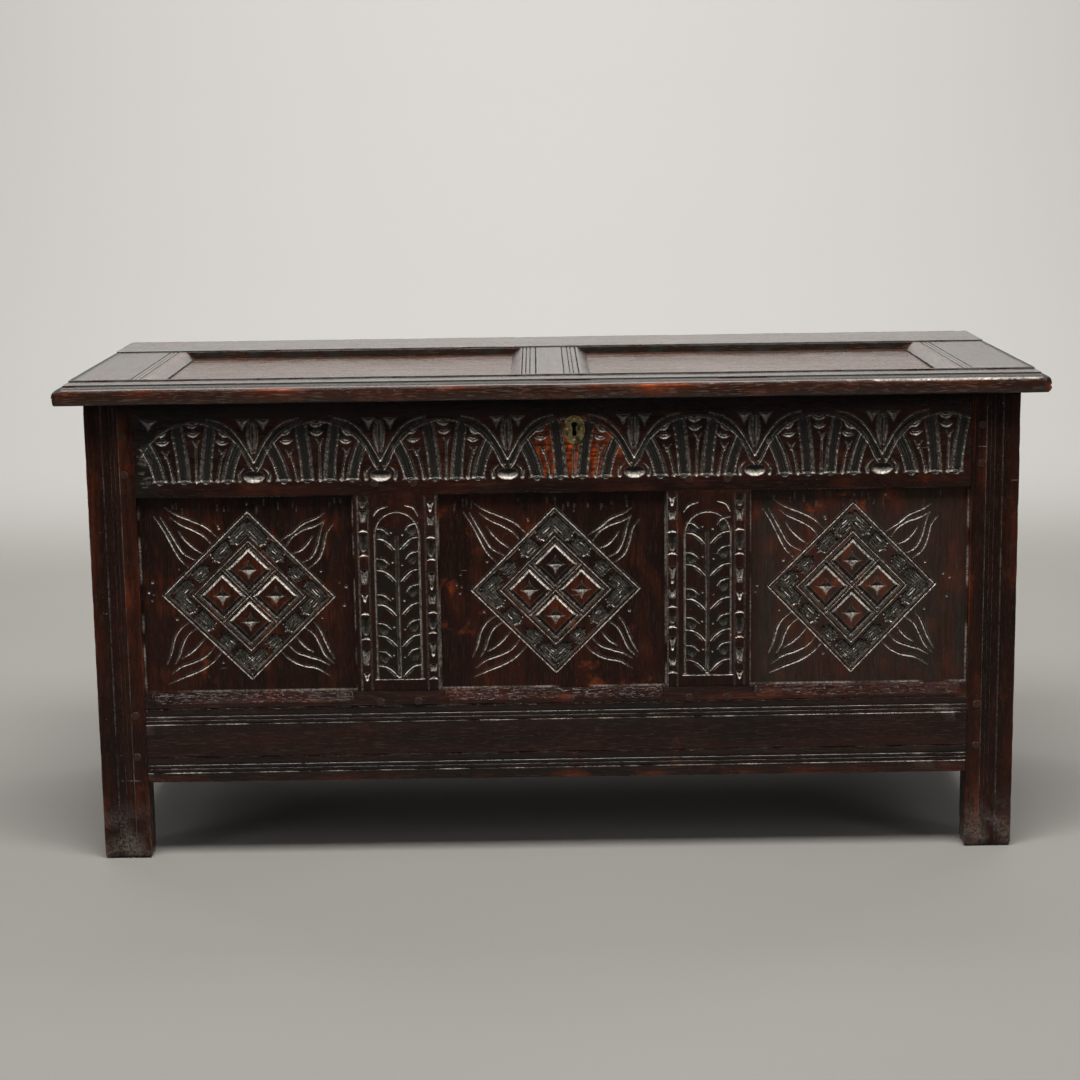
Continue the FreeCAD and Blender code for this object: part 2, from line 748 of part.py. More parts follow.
def lid_upright(label, outline, tenon, pegs, form=None, extra=()):
    """A stile or the muntin of the lid, between the two long rails."""
    length = back_joint - front_joint
    section = pad(f"{label}_section", "y", outline, front_joint, length)
    body = common(f"{label}_shaped", section, form) if form else section
    reach = (front_joint - d.muntin_tenon, back_joint + d.muntin_tenon)
    tenons = box(f"{label}_tenons", tenon, reach, lid_groove)
    whole = fuse(f"{label}_whole", body, tenons)
    return piece(label, cut(label, whole, pegs, *extra))


def lid_panel(label, left, right):
    """A lid panel, let into the frame on all four sides and thinned below at its edges."""
    front = front_joint - d.tongue
    back = back_joint + d.tongue
    thin = box(f"{label}_edge", (left - d.tongue, right + d.tongue), (front, back), lid_groove)
    below = (lid_floor - d.panel_thickness, lid_groove[0])
    inner = (left + d.panel_rebate, right - d.panel_rebate)
    along = (front_joint + d.panel_rebate, back_joint - d.panel_rebate)
    thick = box(f"{label}_field", inner, along, below)
    return piece(label, fuse(label, thin, thick))


def make_lid_pegs():
    """Two pegs through each tenon of the lid's uprights."""
    pegs = []
    inset = d.peg_inset + 1
    for left, right in lid_tenons():
        middle = (left + right) / 2
        spread = (right - left) / 4
        for across in (middle - spread, middle + spread):
            for along in (front_joint - inset, back_joint + inset):
                at = (across, along, lid_top)
                pegs.append(rod("lid_peg", "-z", d.lid_peg_radius, at, d.lid_thickness))
    return piece("lid_pegs", group("lid_pegs", pegs))


def make_lid(pegs, nails, staple_room):
    form = lid_form()
    tenons = lid_tenons()
    lid_rail("lid_front_rail", lid_front_edge, front_joint, form, (pegs, nails, staple_room))
    lid_rail("lid_back_rail", lid_back_edge, back_joint, form, (pegs, nails))
    lid_upright("lid_left_stile", lid_stile_outline(-1), tenons[0], pegs, form)
    lid_upright("lid_muntin", lid_muntin_outline(), tenons[1], pegs, extra=(nails,))
    lid_upright("lid_right_stile", lid_stile_outline(1), tenons[2], pegs, form)
    half = d.lid_muntin_width / 2
    lid_panel("lid_left_panel", -stile_joint, d.lid_muntin_middle - half)
    lid_panel("lid_right_panel", d.lid_muntin_middle + half, stile_joint)


# ---- Ironwork ----

pin_depth = half_depth + d.knuckle_offset
pin_level = d.body_height - d.knuckle_offset
lock_left = d.lock_middle - d.lock_width / 2
lock_right = d.lock_middle + d.lock_width / 2
lock_bottom = d.body_height - d.lock_height
rail_back = -half_depth + d.rail_thickness
lock_front = rail_back - d.lock_depth
staple_middle = d.lock_middle + d.staple_offset
staple_back = rail_back - d.lock_wall
staple_front = staple_back - d.staple_eye - d.staple_iron * 2
eye_front = staple_front + d.staple_iron


def nail(name, direction, at, length):
    """A wrought nail: a shank that runs along an axis from a point, and a low head behind that point."""
    behind = {"+": "-", "-": "+"}[direction[0]] + direction[1]
    shank = rod(f"{name}_shank", direction, d.nail_radius, at, length)
    tip = d.nail_head * HEAD_TAPER
    head = cone(f"{name}_head", behind, d.nail_head, tip, at, d.nail_head_height)
    return fuse(name, shank, head)


def hinge_middles():
    return (("left", -d.hinge_spacing / 2), ("right", d.hinge_spacing / 2))


def make_hinge(label, middle):
    """A strap on the lid and a leaf on the back, turning on one pin."""
    half = d.hinge_width / 2
    inner = d.knuckle_width / 2
    outer_gap = inner + d.working_gap
    bore = d.pin_radius + d.pin_clearance
    full = (middle - half, middle + half)
    strap_top = d.body_height
    strap_under = strap_top - d.hinge_iron
    at = (middle - inner, pin_depth, pin_level)
    strap_end = half_depth - d.strap_length
    iron = (strap_under, strap_top)
    flat = box(f"{label}_strap_flat", full, (strap_end, half_depth - d.strap_gap), iron)
    neck = (middle - inner, middle + inner)
    arm = box(f"{label}_strap_arm", neck, (half_depth - d.play, pin_depth), iron)
    knuckle = rod(f"{label}_strap_knuckle", "+x", d.knuckle_radius, at, d.knuckle_width)
    hole = rod(f"{label}_strap_hole", "+x", bore, at, d.knuckle_width)
    strap_nails = nail_rows(f"{label}_strap", middle)
    strap = fuse(f"{label}_strap_whole", flat, arm, knuckle)
    piece(f"{label}_hinge_strap", cut(f"{label}_hinge_strap", strap, hole, *strap_nails))
    leaf_top = pin_level - d.knuckle_radius - d.working_gap * 3
    leaf_foot = leaf_top - d.leaf_length
    face = (half_depth, half_depth + d.hinge_iron)
    solids = [box(f"{label}_leaf_flat", full, face, (leaf_foot, leaf_top))]
    for start, stop in ((middle - half, middle - outer_gap), (middle + outer_gap, middle + half)):
        solids.append(box(f"{label}_leaf_ear", (start, stop), face, (leaf_top, pin_level)))
        ear = (start, pin_depth, pin_level)
        solids.append(rod(f"{label}_leaf_knuckle", "+x", d.knuckle_radius, ear, stop - start))
    leaf_end = (middle - half, pin_depth, pin_level)
    leaf_hole = rod(f"{label}_leaf_hole", "+x", d.pin_radius, leaf_end, d.hinge_width)
    leaf_nails = leaf_rows(f"{label}_leaf", middle)
    leaf = fuse(f"{label}_leaf_whole", *solids)
    piece(f"{label}_hinge_leaf", cut(f"{label}_hinge_leaf", leaf, leaf_hole, *leaf_nails))
    pin_start = (middle - half - d.pin_proud, pin_depth, pin_level)
    pin_length = d.hinge_width + d.pin_proud * 2
    piece(f"{label}_hinge_pin", rod(f"{label}_hinge_pin", "+x", d.pin_radius, pin_start, pin_length))
    return strap_nails, leaf_nails


def nail_rows(name, middle):
    """Three nails up through a strap into the back rail of the lid."""
    level = d.body_height - d.hinge_iron
    rows = []
    for index, (across, back) in enumerate(STRAP_NAILS):
        at = (middle + across, half_depth - back, level)
        rows.append(nail(f"{name}_nail_{index + 1}", "+z", at, d.nail_length))
    return rows


def leaf_rows(name, middle):
    """Four nails through a leaf into the back top rail."""
    rows = []
    for index, (across, drop) in enumerate(LEAF_NAILS):
        at = (middle + across, half_depth + d.hinge_iron, pin_level - drop)
        rows.append(nail(f"{name}_nail_{index + 1}", "-y", at, d.leaf_nail_length))
    return rows


def strap_housings():
    """Where the straps pass over the back top rail."""
    cuts = []
    half = d.hinge_width / 2 + d.working_gap
    under = d.body_height - d.hinge_iron - d.working_gap
    for label, middle in hinge_middles():
        depth = (half_depth - d.rail_thickness, half_depth)
        cuts.append(box(f"{label}_housing", (middle - half, middle + half), depth, (under, d.body_height)))
    return cuts


def keyhole(name, start, length):
    """A round hole over a slot that widens downwards."""
    half = d.keyhole_slot
    foot = half + d.keyhole_flare
    middle = d.lock_middle
    level = d.keyhole_level
    throat = level - chord_drop(d.keyhole_radius, half)
    outline = [
        (middle - foot, level - d.keyhole_drop),
        (middle + foot, level - d.keyhole_drop),
        (middle + half, throat),
        (middle - half, throat, middle, level + d.keyhole_radius, d.keyhole_radius),
    ]
    return pad(name, "y", outline, start, length)


def lock_recess():
    ends = (lock_left, lock_right)
    return box("lock_recess", ends, (lock_front, rail_back), (lock_bottom, d.body_height))


def make_lock():
    """A chest lock let into the back of the front top rail, with its bolt drawn."""
    cavity_ends = (lock_left + d.lock_wall, lock_right - d.lock_wall)
    cavity_levels = (lock_bottom + d.lock_wall, d.body_height - d.lock_wall)
    inside = (lock_front + d.lock_wall, rail_back)
    tray = lock_recess()
    cavity = box("lock_cavity", cavity_ends, inside, cavity_levels)
    mouth_half = d.staple_breadth / 2 + d.mouth_room
    mouth_ends = (staple_middle - mouth_half, staple_middle + mouth_half)
    mouth = box("lock_mouth", mouth_ends, inside, (cavity_levels[1], d.body_height))
    bolt_front = (eye_front + d.staple_eye / 2) - d.bolt_thickness / 2
    bolt_depth = (bolt_front, bolt_front + d.bolt_thickness)
    bolt_right = staple_middle - d.staple_breadth / 2 - d.cover_thickness
    bolt_over = d.bolt_level + d.bolt_height
    talon_middle = d.lock_middle - d.bolt_throw / 2
    lug = (talon_middle - d.lug_width / 2, talon_middle + d.lug_width / 2)
    guide_depth = (lock_front + d.lock_wall / 2, rail_back - d.lock_wall)
    left_guide = lug[0] - d.play - d.guide_width
    right_guide = lug[1] + d.bolt_throw + d.play
    guides = []
    for left in (left_guide, right_guide):
        ends = (left, left + d.guide_width)
        below = (d.bolt_level - d.lug_drop, d.bolt_level - d.guide_gap)
        above = (bolt_over + d.guide_gap, bolt_over + d.lug_drop)
        guides += [box("bolt_guide", ends, guide_depth, below), box("bolt_guide", ends, guide_depth, above)]
    shell = cut("lock_shell", tray, cavity, mouth, keyhole("case_keyhole", lock_front, d.lock_wall))
    piece("lock_case", fuse("lock_case", shell, *guides))
    bar = box("bolt_bar", (bolt_right - d.bolt_length, bolt_right), bolt_depth, (d.bolt_level, bolt_over))
    foot = d.bolt_level - d.lug_drop
    lug_block = box("bolt_lug", lug, bolt_depth, (foot, d.bolt_level))
    notch = (talon_middle - d.talon_width / 2, talon_middle + d.talon_width / 2)
    talon = box("bolt_talon", notch, bolt_depth, (foot, d.bolt_level - d.play))
    piece("lock_bolt", cut("lock_bolt", fuse("bolt_whole", bar, lug_block), talon))
    make_spring(left_guide + d.guide_width, right_guide, bolt_over, bolt_depth)
    cover_ends = (lock_left - d.cover_margin, lock_right + d.cover_margin)
    cover_depth = (rail_back, rail_back + d.cover_thickness)
    plate = box("cover_plate", cover_ends, cover_depth, (lock_bottom - d.cover_margin, d.body_height))
    nails = cover_nails(cover_ends)
    piece("lock_cover", cut("lock_cover", plate, *nails))
    return nails


def make_spring(left, right, over, depth):
    """A bowed leaf spring between the guides, on top of the bolt."""
    low = over + d.guide_gap
    high = low + d.spring_leaf
    middle = (left + right) / 2
    radius = arc_radius(right - left, d.spring_rise)
    outline = [
        (left, low),
        (right, low, middle, low + d.spring_rise, radius),
        (right, high),
        (left, high, middle, high + d.spring_rise, radius),
    ]
    piece("lock_spring", pad("lock_spring", "y", outline, depth[0], depth[1] - depth[0]))


def cover_nails(ends):
    rows = []
    depth = rail_back + d.cover_thickness
    low = lock_bottom - d.cover_margin / 2
    high = d.body_height - d.shoulder
    edge = d.cover_margin / 2
    for across in (ends[0] + edge, ends[1] - edge):
        for level in (low, high):
            rows.append(nail("cover_nail", "-y", (across, depth, level), d.nail_length))
    return rows


def make_staple():
    """The staple: a plate let into the underside of the lid and a loop that the bolt enters."""
    middle = staple_middle
    half = d.staple_plate / 2
    plate_depth = (staple_front - d.staple_margin, staple_back + d.staple_margin)
    plate_levels = (d.body_height, d.body_height + d.plate_iron)
    ends = (middle - half, middle + half)
    plate = box("staple_plate_block", ends, plate_depth, plate_levels)
    breadth = (middle - d.staple_breadth / 2, middle + d.staple_breadth / 2)
    foot = d.body_height - d.staple_reach
    loop = box("staple_bar", breadth, (staple_front, staple_back), (foot, d.body_height))
    eye_levels = (foot + d.staple_iron, d.bolt_level + d.bolt_height + d.eye_headroom)
    eye = box("staple_hole", breadth, (eye_front, eye_front + d.staple_eye), eye_levels)
    nails = []
    depth = (staple_front + staple_back) / 2
    for side in (-1, 1):
        at = (middle + side * (half - d.staple_nail_inset), depth, d.body_height + d.plate_iron / 2)
        shank = rod("staple_nail_shank", "+z", d.nail_radius, at, d.nail_length)
        throat = d.nail_head * HEAD_TAPER
        head = cone("staple_nail_head", "-z", throat, d.nail_head * 0.8, at, d.plate_iron / 2)
        nails.append(fuse("staple_nail", shank, head))
    whole = cut("staple_loop", fuse("staple_whole", plate, loop), eye)
    piece("lock_staple", cut("lock_staple", whole, *nails))
    return nails, box("staple_room", ends, plate_depth, plate_levels)


def make_escutcheon():
    """An oval brass plate with a keyhole, held by four brass pins."""
    across = d.escutcheon_width / 2
    up = d.escutcheon_height / 2
    near = across * PLATE_SHOULDER[0]
    far = up * PLATE_SHOULDER[1]
    middle = d.lock_middle
    level = d.escutcheon_level
    side_radius = arc_radius(far * 2, across - near)
    end_radius = arc_radius(near * 2, up - far)
    outline = [
        (middle + near, level - far, middle, level - up, end_radius),
        (middle + near, level + far, middle + across, level, side_radius),
        (middle - near, level + far, middle, level + up, end_radius),
        (middle - near, level - far, middle - across, level, side_radius),
    ]
    front = -half_depth - d.escutcheon_thickness
    plate = pad("escutcheon_plate", "y", outline, front, d.escutcheon_thickness)
    hole = keyhole("escutcheon_keyhole", front, d.escutcheon_thickness)
    tacks = []
    for side, end in TACKS:
        at = (middle + across * side, front, level + up * end)
        shank = rod("tack_shank", "+y", d.tack_radius, at, d.tack_length)
        tip = d.tack_head * HEAD_TAPER
        head = cone("tack_head", "-y", d.tack_head, tip, at, d.tack_head_height)
        tacks.append(fuse("tack", shank, head))
    piece("escutcheon", cut("escutcheon", plate, hole, *tacks))
    piece("escutcheon_pins", group("escutcheon_pins", tacks))
    return tacks


# ---- Assembly ----


def build():
    walls = make_walls()
    front, back = walls[0], walls[1]
    pegs = piece("frame_pegs", group("frame_pegs", [peg for wall in walls for peg in wall_pegs(wall)]))
    tacks = make_escutcheon()
    cover = make_lock()
    staple_nails, staple_room = make_staple()
    strap_nails, leaf_nails = [], []
    for label, middle in hinge_middles():
        through_strap, through_leaf = make_hinge(label, middle)
        strap_nails += through_strap
        leaf_nails += through_leaf
    frame_nails = piece("frame_nails", group("frame_nails", leaf_nails + cover))
    lid_nails = piece("lid_nails", group("lid_nails", strap_nails + staple_nails))
    rail_keyhole = keyhole("rail_keyhole", -half_depth, d.rail_thickness)
    lock_cuts = (lock_recess(), rail_keyhole, frame_nails, *tacks)
    rail(front, "top", pegs, cuts=lock_cuts)
    rail(front, "bottom", pegs, block=bottom_rail_block(), cuts=bottom_rail_chamfers(front))
    rail(back, "top", pegs, cuts=(*strap_housings(), frame_nails))
    rail(back, "bottom", pegs)
    for wall in walls[2:]:
        rail(wall, "top", pegs)
        rail(wall, "bottom", pegs)
    for wall in walls:
        for label, middle, width in wall.muntins:
            muntin(wall, label, middle, width, pegs)
        make_panels(wall)
    for side, side_name in ((-1, "left"), (1, "right")):
        stile(f"front_{side_name}_stile", side, -1, walls, pegs)
        stile(f"back_{side_name}_stile", side, 1, walls, pegs)
    floor_boards()
    make_lid(make_lid_pegs(), lid_nails, staple_room)


def check_document():
    for thing in doc.Objects:
        if {"Invalid", "Error"} & set(thing.State):
            raise RuntimeError(f"{thing.Label} failed: {thing.State}")
    for solid in pieces:
        if solid.Shape.isNull() or not solid.Shape.isValid():
            raise RuntimeError(f"{solid.Label} has no valid shape")


def export():
    os.makedirs("parts", exist_ok=True)
    for solid in pieces:
        solid.Shape.exportStep(f"parts/{solid.Label}.step")
        print(f"{solid.Label}: {len(solid.Shape.Solids)} solids, {solid.Shape.Volume / 1000:.1f} cm3")


build()
doc.recompute()
check_document()
export()
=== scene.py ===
import math

import bmesh
import bpy
import numpy as np
from mathutils import Matrix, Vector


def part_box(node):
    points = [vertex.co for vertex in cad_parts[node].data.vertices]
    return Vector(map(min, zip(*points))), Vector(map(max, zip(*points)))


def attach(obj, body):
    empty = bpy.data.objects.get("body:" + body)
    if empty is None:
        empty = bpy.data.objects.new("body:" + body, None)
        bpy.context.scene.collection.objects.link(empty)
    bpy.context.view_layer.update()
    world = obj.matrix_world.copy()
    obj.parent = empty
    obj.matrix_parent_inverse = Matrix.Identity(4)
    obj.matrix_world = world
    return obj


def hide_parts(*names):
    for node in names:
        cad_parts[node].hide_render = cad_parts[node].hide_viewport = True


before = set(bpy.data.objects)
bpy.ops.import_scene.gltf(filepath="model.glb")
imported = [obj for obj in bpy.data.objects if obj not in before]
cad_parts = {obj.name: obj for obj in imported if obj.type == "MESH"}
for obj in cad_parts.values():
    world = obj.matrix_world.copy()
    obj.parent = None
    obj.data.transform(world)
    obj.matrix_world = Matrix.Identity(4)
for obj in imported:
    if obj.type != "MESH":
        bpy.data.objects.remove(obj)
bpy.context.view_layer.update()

MM = 0.001

# ---- The coffer's main lines, in millimetres ----

FACE = -240.0
PANEL_FACE = -231.0
FRAME_BACK = -214.0
PANEL_BACK = -219.0
STILE_INNER = 520.0
STILE_OUTER = 580.0
STILE_BACK = -204.0
BODY_TOP = 587.0
LID_TOP = 612.0
PANEL_LOW = 216.0
PANEL_HIGH = 468.0
LEFT_MUNTIN = (-250.0, -146.0)
RIGHT_MUNTIN = (141.0, 245.0)
TONGUE = 8.0
QUIRK = 0.8
WIDE_REED = 10.0
NARROW_REED = 5.0
SIDES = ((-1, "left"), (1, "right"))

# ---- Camera ----

IMAGE = 1080
FOCAL_PIXELS = 2309.5
SENSOR = 36.0
CAMERA_PLACE = (-0.0179, -3.0745, 0.9449)
CAMERA_YAW = 0.0002
CAMERA_PITCH = 0.1873
CAMERA_ROLL = -0.0143


def make_camera():
    data = bpy.data.cameras.new("camera")
    data.sensor_width = SENSOR
    data.lens = SENSOR * FOCAL_PIXELS / IMAGE
    data.clip_start = 0.05
    camera = bpy.data.objects.new("camera", data)
    bpy.context.collection.objects.link(camera)
    aim = Matrix.Rotation(-CAMERA_YAW, 4, "Z") @ Matrix.Rotation(math.pi / 2 - CAMERA_PITCH, 4, "X")
    camera.matrix_world = Matrix.Translation(CAMERA_PLACE) @ aim @ Matrix.Rotation(CAMERA_ROLL, 4, "Z")
    bpy.context.scene.camera = camera


# ---- Materials ----


class Material:
    """A node material, written as expressions: each helper adds a node and returns its output socket."""

    def __init__(self, name):
        self.data = bpy.data.materials.new(name)
        self.data.use_nodes = True
        self.tree = self.data.node_tree
        self.tree.nodes.clear()
        self.out = self.node("ShaderNodeOutputMaterial")
        self.shader = self.node("ShaderNodeBsdfPrincipled")
        self.tree.links.new(self.shader.outputs[0], self.out.inputs["Surface"])

    def node(self, kind, inputs=None, **settings):
        made = self.tree.nodes.new(kind)
        for key, value in settings.items():
            setattr(made, key, value)
        for key, value in (inputs or {}).items():
            self.feed(made.inputs[key], value)
        return made

    def feed(self, socket, value):
        if isinstance(value, bpy.types.NodeSocket):
            self.tree.links.new(value, socket)
        else:
            socket.default_value = value

    def set(self, **inputs):
        for key, value in inputs.items():
            self.feed(self.shader.inputs[key.replace("_", " ")], value)

    def place(self):
        return self.node("ShaderNodeTexCoord").outputs["Object"]

    def stretched(self, scale, offset=(0, 0, 0), turn=(0, 0, 0)):
        inputs = {"Vector": self.place(), "Scale": scale, "Location": offset, "Rotation": turn}
        return self.node("ShaderNodeMapping", inputs).outputs[0]

    def parts(self, vector):
        return self.node("ShaderNodeSeparateXYZ", {0: vector}).outputs

    def noise(self, vector, scale, detail=3.0, roughness=0.5, distortion=0.0):
        inputs = {"Vector": vector, "Scale": scale, "Detail": detail}
        inputs.update({"Roughness": roughness, "Distortion": distortion})
        return self.node("ShaderNodeTexNoise", inputs).outputs["Fac"]

    def ramp(self, value, low, high, start=0.0, end=1.0):
        inputs = {"Value": value, "From Min": low, "From Max": high, "To Min": start, "To Max": end}
        return self.node("ShaderNodeMapRange", inputs, interpolation_type="SMOOTHSTEP").outputs[0]

    def math(self, operation, first, second=0.0):
        return self.node("ShaderNodeMath", {0: first, 1: second}, operation=operation).outputs[0]

    def times(self, first, second):
        return self.math("MULTIPLY", first, second)

    def mix(self, share, first, second):
        made = self.node("ShaderNodeMix", data_type="RGBA")
        self.feed(made.inputs[0], share)
        for socket, colour in ((made.inputs[6], first), (made.inputs[7], second)):
            self.feed(socket, colour if isinstance(colour, bpy.types.NodeSocket) else (*colour, 1.0))
        return made.outputs[2]

    def layered(self, tone, *layers):
        """A first colour with others mixed over it, each by its share."""
        for share, colour in layers:
            tone = self.mix(share, tone, colour)
        return tone

    def attribute(self, name):
        return self.node("ShaderNodeAttribute", attribute_name=name).outputs["Fac"]

    def bump(self, height, strength, distance, below=None):
        inputs = {"Height": height, "Strength": strength, "Distance": distance}
        if below is not None:
            inputs["Normal"] = below
        return self.node("ShaderNodeBump", inputs).outputs[0]


GRAIN = {"x": (1, 14, 14), "y": (14, 1, 14), "z": (14, 14, 1)}


def wood_places(m, grain, seed):
    """Where a wood's noises are read: its own shift, a place stretched along the grain, and a plain one."""
    shift = (seed * 1.7, seed * 2.3, seed * 3.1)
    return shift, m.stretched(GRAIN[grain], shift), m.stretched((1, 1, 1), shift)


def oak(name, grain, seed, red=0.5, worn=0.5, dark=(0.0050, 0.0018, 0.0011), rough=(0.18, 0.40), gloss=0.15,
        grainy=1.0, scuffed=0.5, hairy=0.06):
    """Old waxed oak, near black with a red ground. red and worn say how much of the redder and of the rubbed
    orange wood shows, grainy how deep its grain is, scuffed how light its scratches are and hairy how much
    its fibres show. Pale points are light with wax and dust in their cuts and with painted highlights on
    up-facing cut slopes and arrises; black points are dark with old dirt and with painted shade in cuts,
    quirks and under the lid; points marked rub are worn to orange."""
    m = Material(name)
    shift, fibres, plain = wood_places(m, grain, seed)

    def along_grain(factor):
        return m.stretched(tuple(value * factor for value in GRAIN[grain]), shift)

    figure = m.noise(fibres, 3.2, 4.0, 0.55, 0.6)
    streaks = m.noise(fibres, 17.0, 4.0, 0.65, 0.3)
    pores = m.noise(along_grain(4.5), 24.0, 2.0, 0.5)
    patches = m.noise(plain, 6.5, 4.0, 0.6)
    spots = m.noise(plain, 38.0, 5.0, 0.65)
    specks = m.noise(plain, 420.0, 2.0, 0.5)
    small = m.noise(plain, 30.0, 5.0, 0.7)
    hairs = m.noise(along_grain(9), 6.0, 3.0, 0.7)
    broken = m.ramp(m.noise(plain, 320.0, 3.0, 0.6), 0.38, 0.58, 0.22, 1.0)
    scratched = m.ramp(m.noise(m.stretched((40, 700, 500), shift, (0.5, 0.9, 0.3)), 1.0, 1.0), 0.76, 0.80)

    redness = m.ramp(m.math("ADD", m.times(figure, 0.6), m.times(patches, 0.4)), 0.38, 0.64)
    rubbed = m.times(m.ramp(patches, 0.50, 0.62), m.ramp(small, 0.54, 0.64))
    flecks = m.times(m.ramp(specks, 0.71, 0.77), m.ramp(spots, 0.50, 0.60))
    flecks = m.math("MAXIMUM", flecks, m.times(scratched, m.ramp(spots, 0.52, 0.60)))
    uneven_wear = m.times(m.ramp(streaks, 0.36, 0.60, 0.2, 1.0), m.ramp(small, 0.34, 0.58, 0.35, 1.0))
    dirt_and_shade = m.attribute("dirt_and_shade")
    tone = m.layered(
        dark,
        (m.times(redness, red), (0.025, 0.0048, 0.0020)),
        (m.times(m.ramp(streaks, 0.44, 0.68), 0.45), (0.0040, 0.0022, 0.0018)),
        (m.times(rubbed, worn), (0.15, 0.030, 0.007)),
        (m.times(m.ramp(pores, 0.60, 0.72), 0.65), (0.0030, 0.0019, 0.0016)),
        (m.times(flecks, scuffed), (0.17, 0.14, 0.115)),
        (m.times(m.ramp(hairs, 0.53, 0.66), hairy), (0.13, 0.095, 0.080)),
        (m.times(m.attribute("rub"), uneven_wear), (0.38, 0.066, 0.010)),
        # painted shade and old dirt: near black in cut floors, quirks and under the lid's overhang
        (dirt_and_shade, (0.0042, 0.0044, 0.0036)),
        # painted highlights and wax dust: pale on up-facing cut slopes, reed shoulders and arrises
        (m.times(m.attribute("pale"), broken), (0.34, 0.31, 0.27)),
    )
    uneven = m.math("ADD", m.times(spots, 0.3), m.times(streaks, 0.3))
    waxed = m.ramp(m.math("ADD", uneven, m.times(figure, 0.4)), 0.35, 0.65, *rough)
    m.set(Base_Color=tone, Roughness=m.math("MAXIMUM", waxed, m.times(dirt_and_shade, 0.42)), IOR=1.5)
    m.shader.inputs["Specular IOR Level"].default_value = gloss
    waves = m.bump(m.noise(fibres, 5.0, 2.0), 0.5 * grainy, 0.0016)
    fine = m.bump(streaks, 0.55 * grainy, 0.00045, waves)
    dents = m.bump(m.ramp(m.noise(plain, 95.0, 3.0), 0.26, 0.40), 0.5 * grainy, 0.0006, fine)
    m.set(Normal=m.bump(m.ramp(pores, 0.58, 0.72, 1.0, 0.0), 0.4 * grainy, 0.0003, dents))
    return m.data


def peg_oak(name):
    """End grain of a peg's head: dark, with a pale rim where the head's surface turns away, a painted
    highlight.
    """
    m = Material(name)
    plain = m.stretched((1, 1, 1))
    normal = m.parts(m.node("ShaderNodeTexCoord").outputs["Normal"])
    sideways, facing, upward = (m.math("ABSOLUTE", normal[axis]) for axis in "XYZ")
    flat = m.math("MAXIMUM", facing, m.math("MAXIMUM", upward, sideways))
    grain = m.ramp(m.noise(plain, 300.0, 3.0), 0.35, 0.65)
    # painted highlight: pale where the head's surface turns away
    tone = m.layered((0.010, 0.0045, 0.0030), (grain, (0.022, 0.0090, 0.0050)),
                     (m.ramp(flat, 0.86, 0.99, 0.75, 0.0), (0.22, 0.18, 0.145)))
    m.set(Base_Color=tone, Roughness=0.34, Normal=m.bump(m.noise(plain, 700.0, 3.0), 0.3, 0.0002))
    m.shader.inputs["Specular IOR Level"].default_value = 0.3
    return m.data


def bare_oak(name, grain, seed):
    """Unpolished, greyed inside wood."""
    m = Material(name)
    _, fibres, plain = wood_places(m, grain, seed)
    figure = m.noise(fibres, 4.0, 4.0, 0.6, 0.7)
    streaks = m.noise(fibres, 26.0, 4.0, 0.65)
    stains = m.noise(plain, 5.0, 4.0, 0.6)
    tone = m.layered((0.085, 0.048, 0.027), (m.ramp(figure, 0.35, 0.65), (0.150, 0.092, 0.054)),
                     (m.times(m.ramp(streaks, 0.5, 0.7), 0.6), (0.040, 0.023, 0.014)),
                     (m.times(m.ramp(stains, 0.5, 0.7), 0.5), (0.045, 0.028, 0.019)))
    m.set(Base_Color=tone, Roughness=m.ramp(streaks, 0.3, 0.7, 0.60, 0.82))
    m.set(Normal=m.bump(streaks, 0.5, 0.0006, m.bump(figure, 0.4, 0.0012)))
    return m.data


def iron(name, seed):
    """Hammered wrought iron, blackened and waxed, with a little rust."""
    m = Material(name)
    plain = m.stretched((1, 1, 1), (seed, seed, seed))
    scale = m.noise(plain, 70.0, 4.0, 0.6)
    rust = m.noise(plain, 28.0, 5.0, 0.65)
    pits = m.noise(plain, 380.0, 3.0, 0.6)
    tone = m.layered((0.020, 0.019, 0.019), (m.ramp(scale, 0.35, 0.65), (0.060, 0.056, 0.053)),
                     (m.times(m.ramp(rust, 0.54, 0.68), 0.7), (0.085, 0.030, 0.013)))
    m.set(Base_Color=tone, Metallic=m.ramp(rust, 0.5, 0.7, 0.85, 0.25))
    m.set(Roughness=m.ramp(pits, 0.3, 0.7, 0.36, 0.62))
    hammered = m.bump(m.node("ShaderNodeTexVoronoi", {"Vector": plain, "Scale": 130.0}).outputs[0], 0.4,
                      0.0006)
    m.set(Normal=m.bump(pits, 0.4, 0.0002, hammered))
    return m.data


def brass(name, bright, dull):
    """Old brass, rubbed bright on its high places and brown elsewhere."""
    m = Material(name)
    plain = m.stretched((1, 1, 1))
    tarnish = m.noise(plain, 140.0, 5.0, 0.65)
    pits = m.noise(plain, 900.0, 3.0, 0.6)
    tone = m.mix(m.ramp(tarnish, 0.40, 0.62), bright, dull)
    m.set(Base_Color=tone, Metallic=0.9, Roughness=m.ramp(tarnish, 0.3, 0.7, 0.30, 0.55))
    m.set(Normal=m.bump(pits, 0.3, 0.00012))
    return m.data


# ---- Meshes ----


WAVES = 8


def slow_noise(a, b, seed, scale):
    """Slow uneven waves between -1 and 1, as hand planes and wear leave them."""
    dice = np.random.default_rng(seed)
    total = np.zeros(np.broadcast(a, b).shape)
    for _ in range(WAVES):
        angle = dice.uniform(0, math.pi)
        length = scale * dice.uniform(0.5, 2.5)
        phase = dice.uniform(0, math.tau)
        total = total + np.sin((a * math.cos(angle) + b * math.sin(angle)) * math.tau / length + phase)
    return total / 4


def unit(values):
    """Values held between 0 and 1."""
    return np.clip(values, 0, 1)


def patchy(a, b, seed, scale, base=0.5, gain=1.0, low=0, high=1):
    """Slow noise as a share between low and high, for wear, dirt and dust that come and go."""
    return np.clip(base + gain * slow_noise(a, b, seed, scale), low, high)


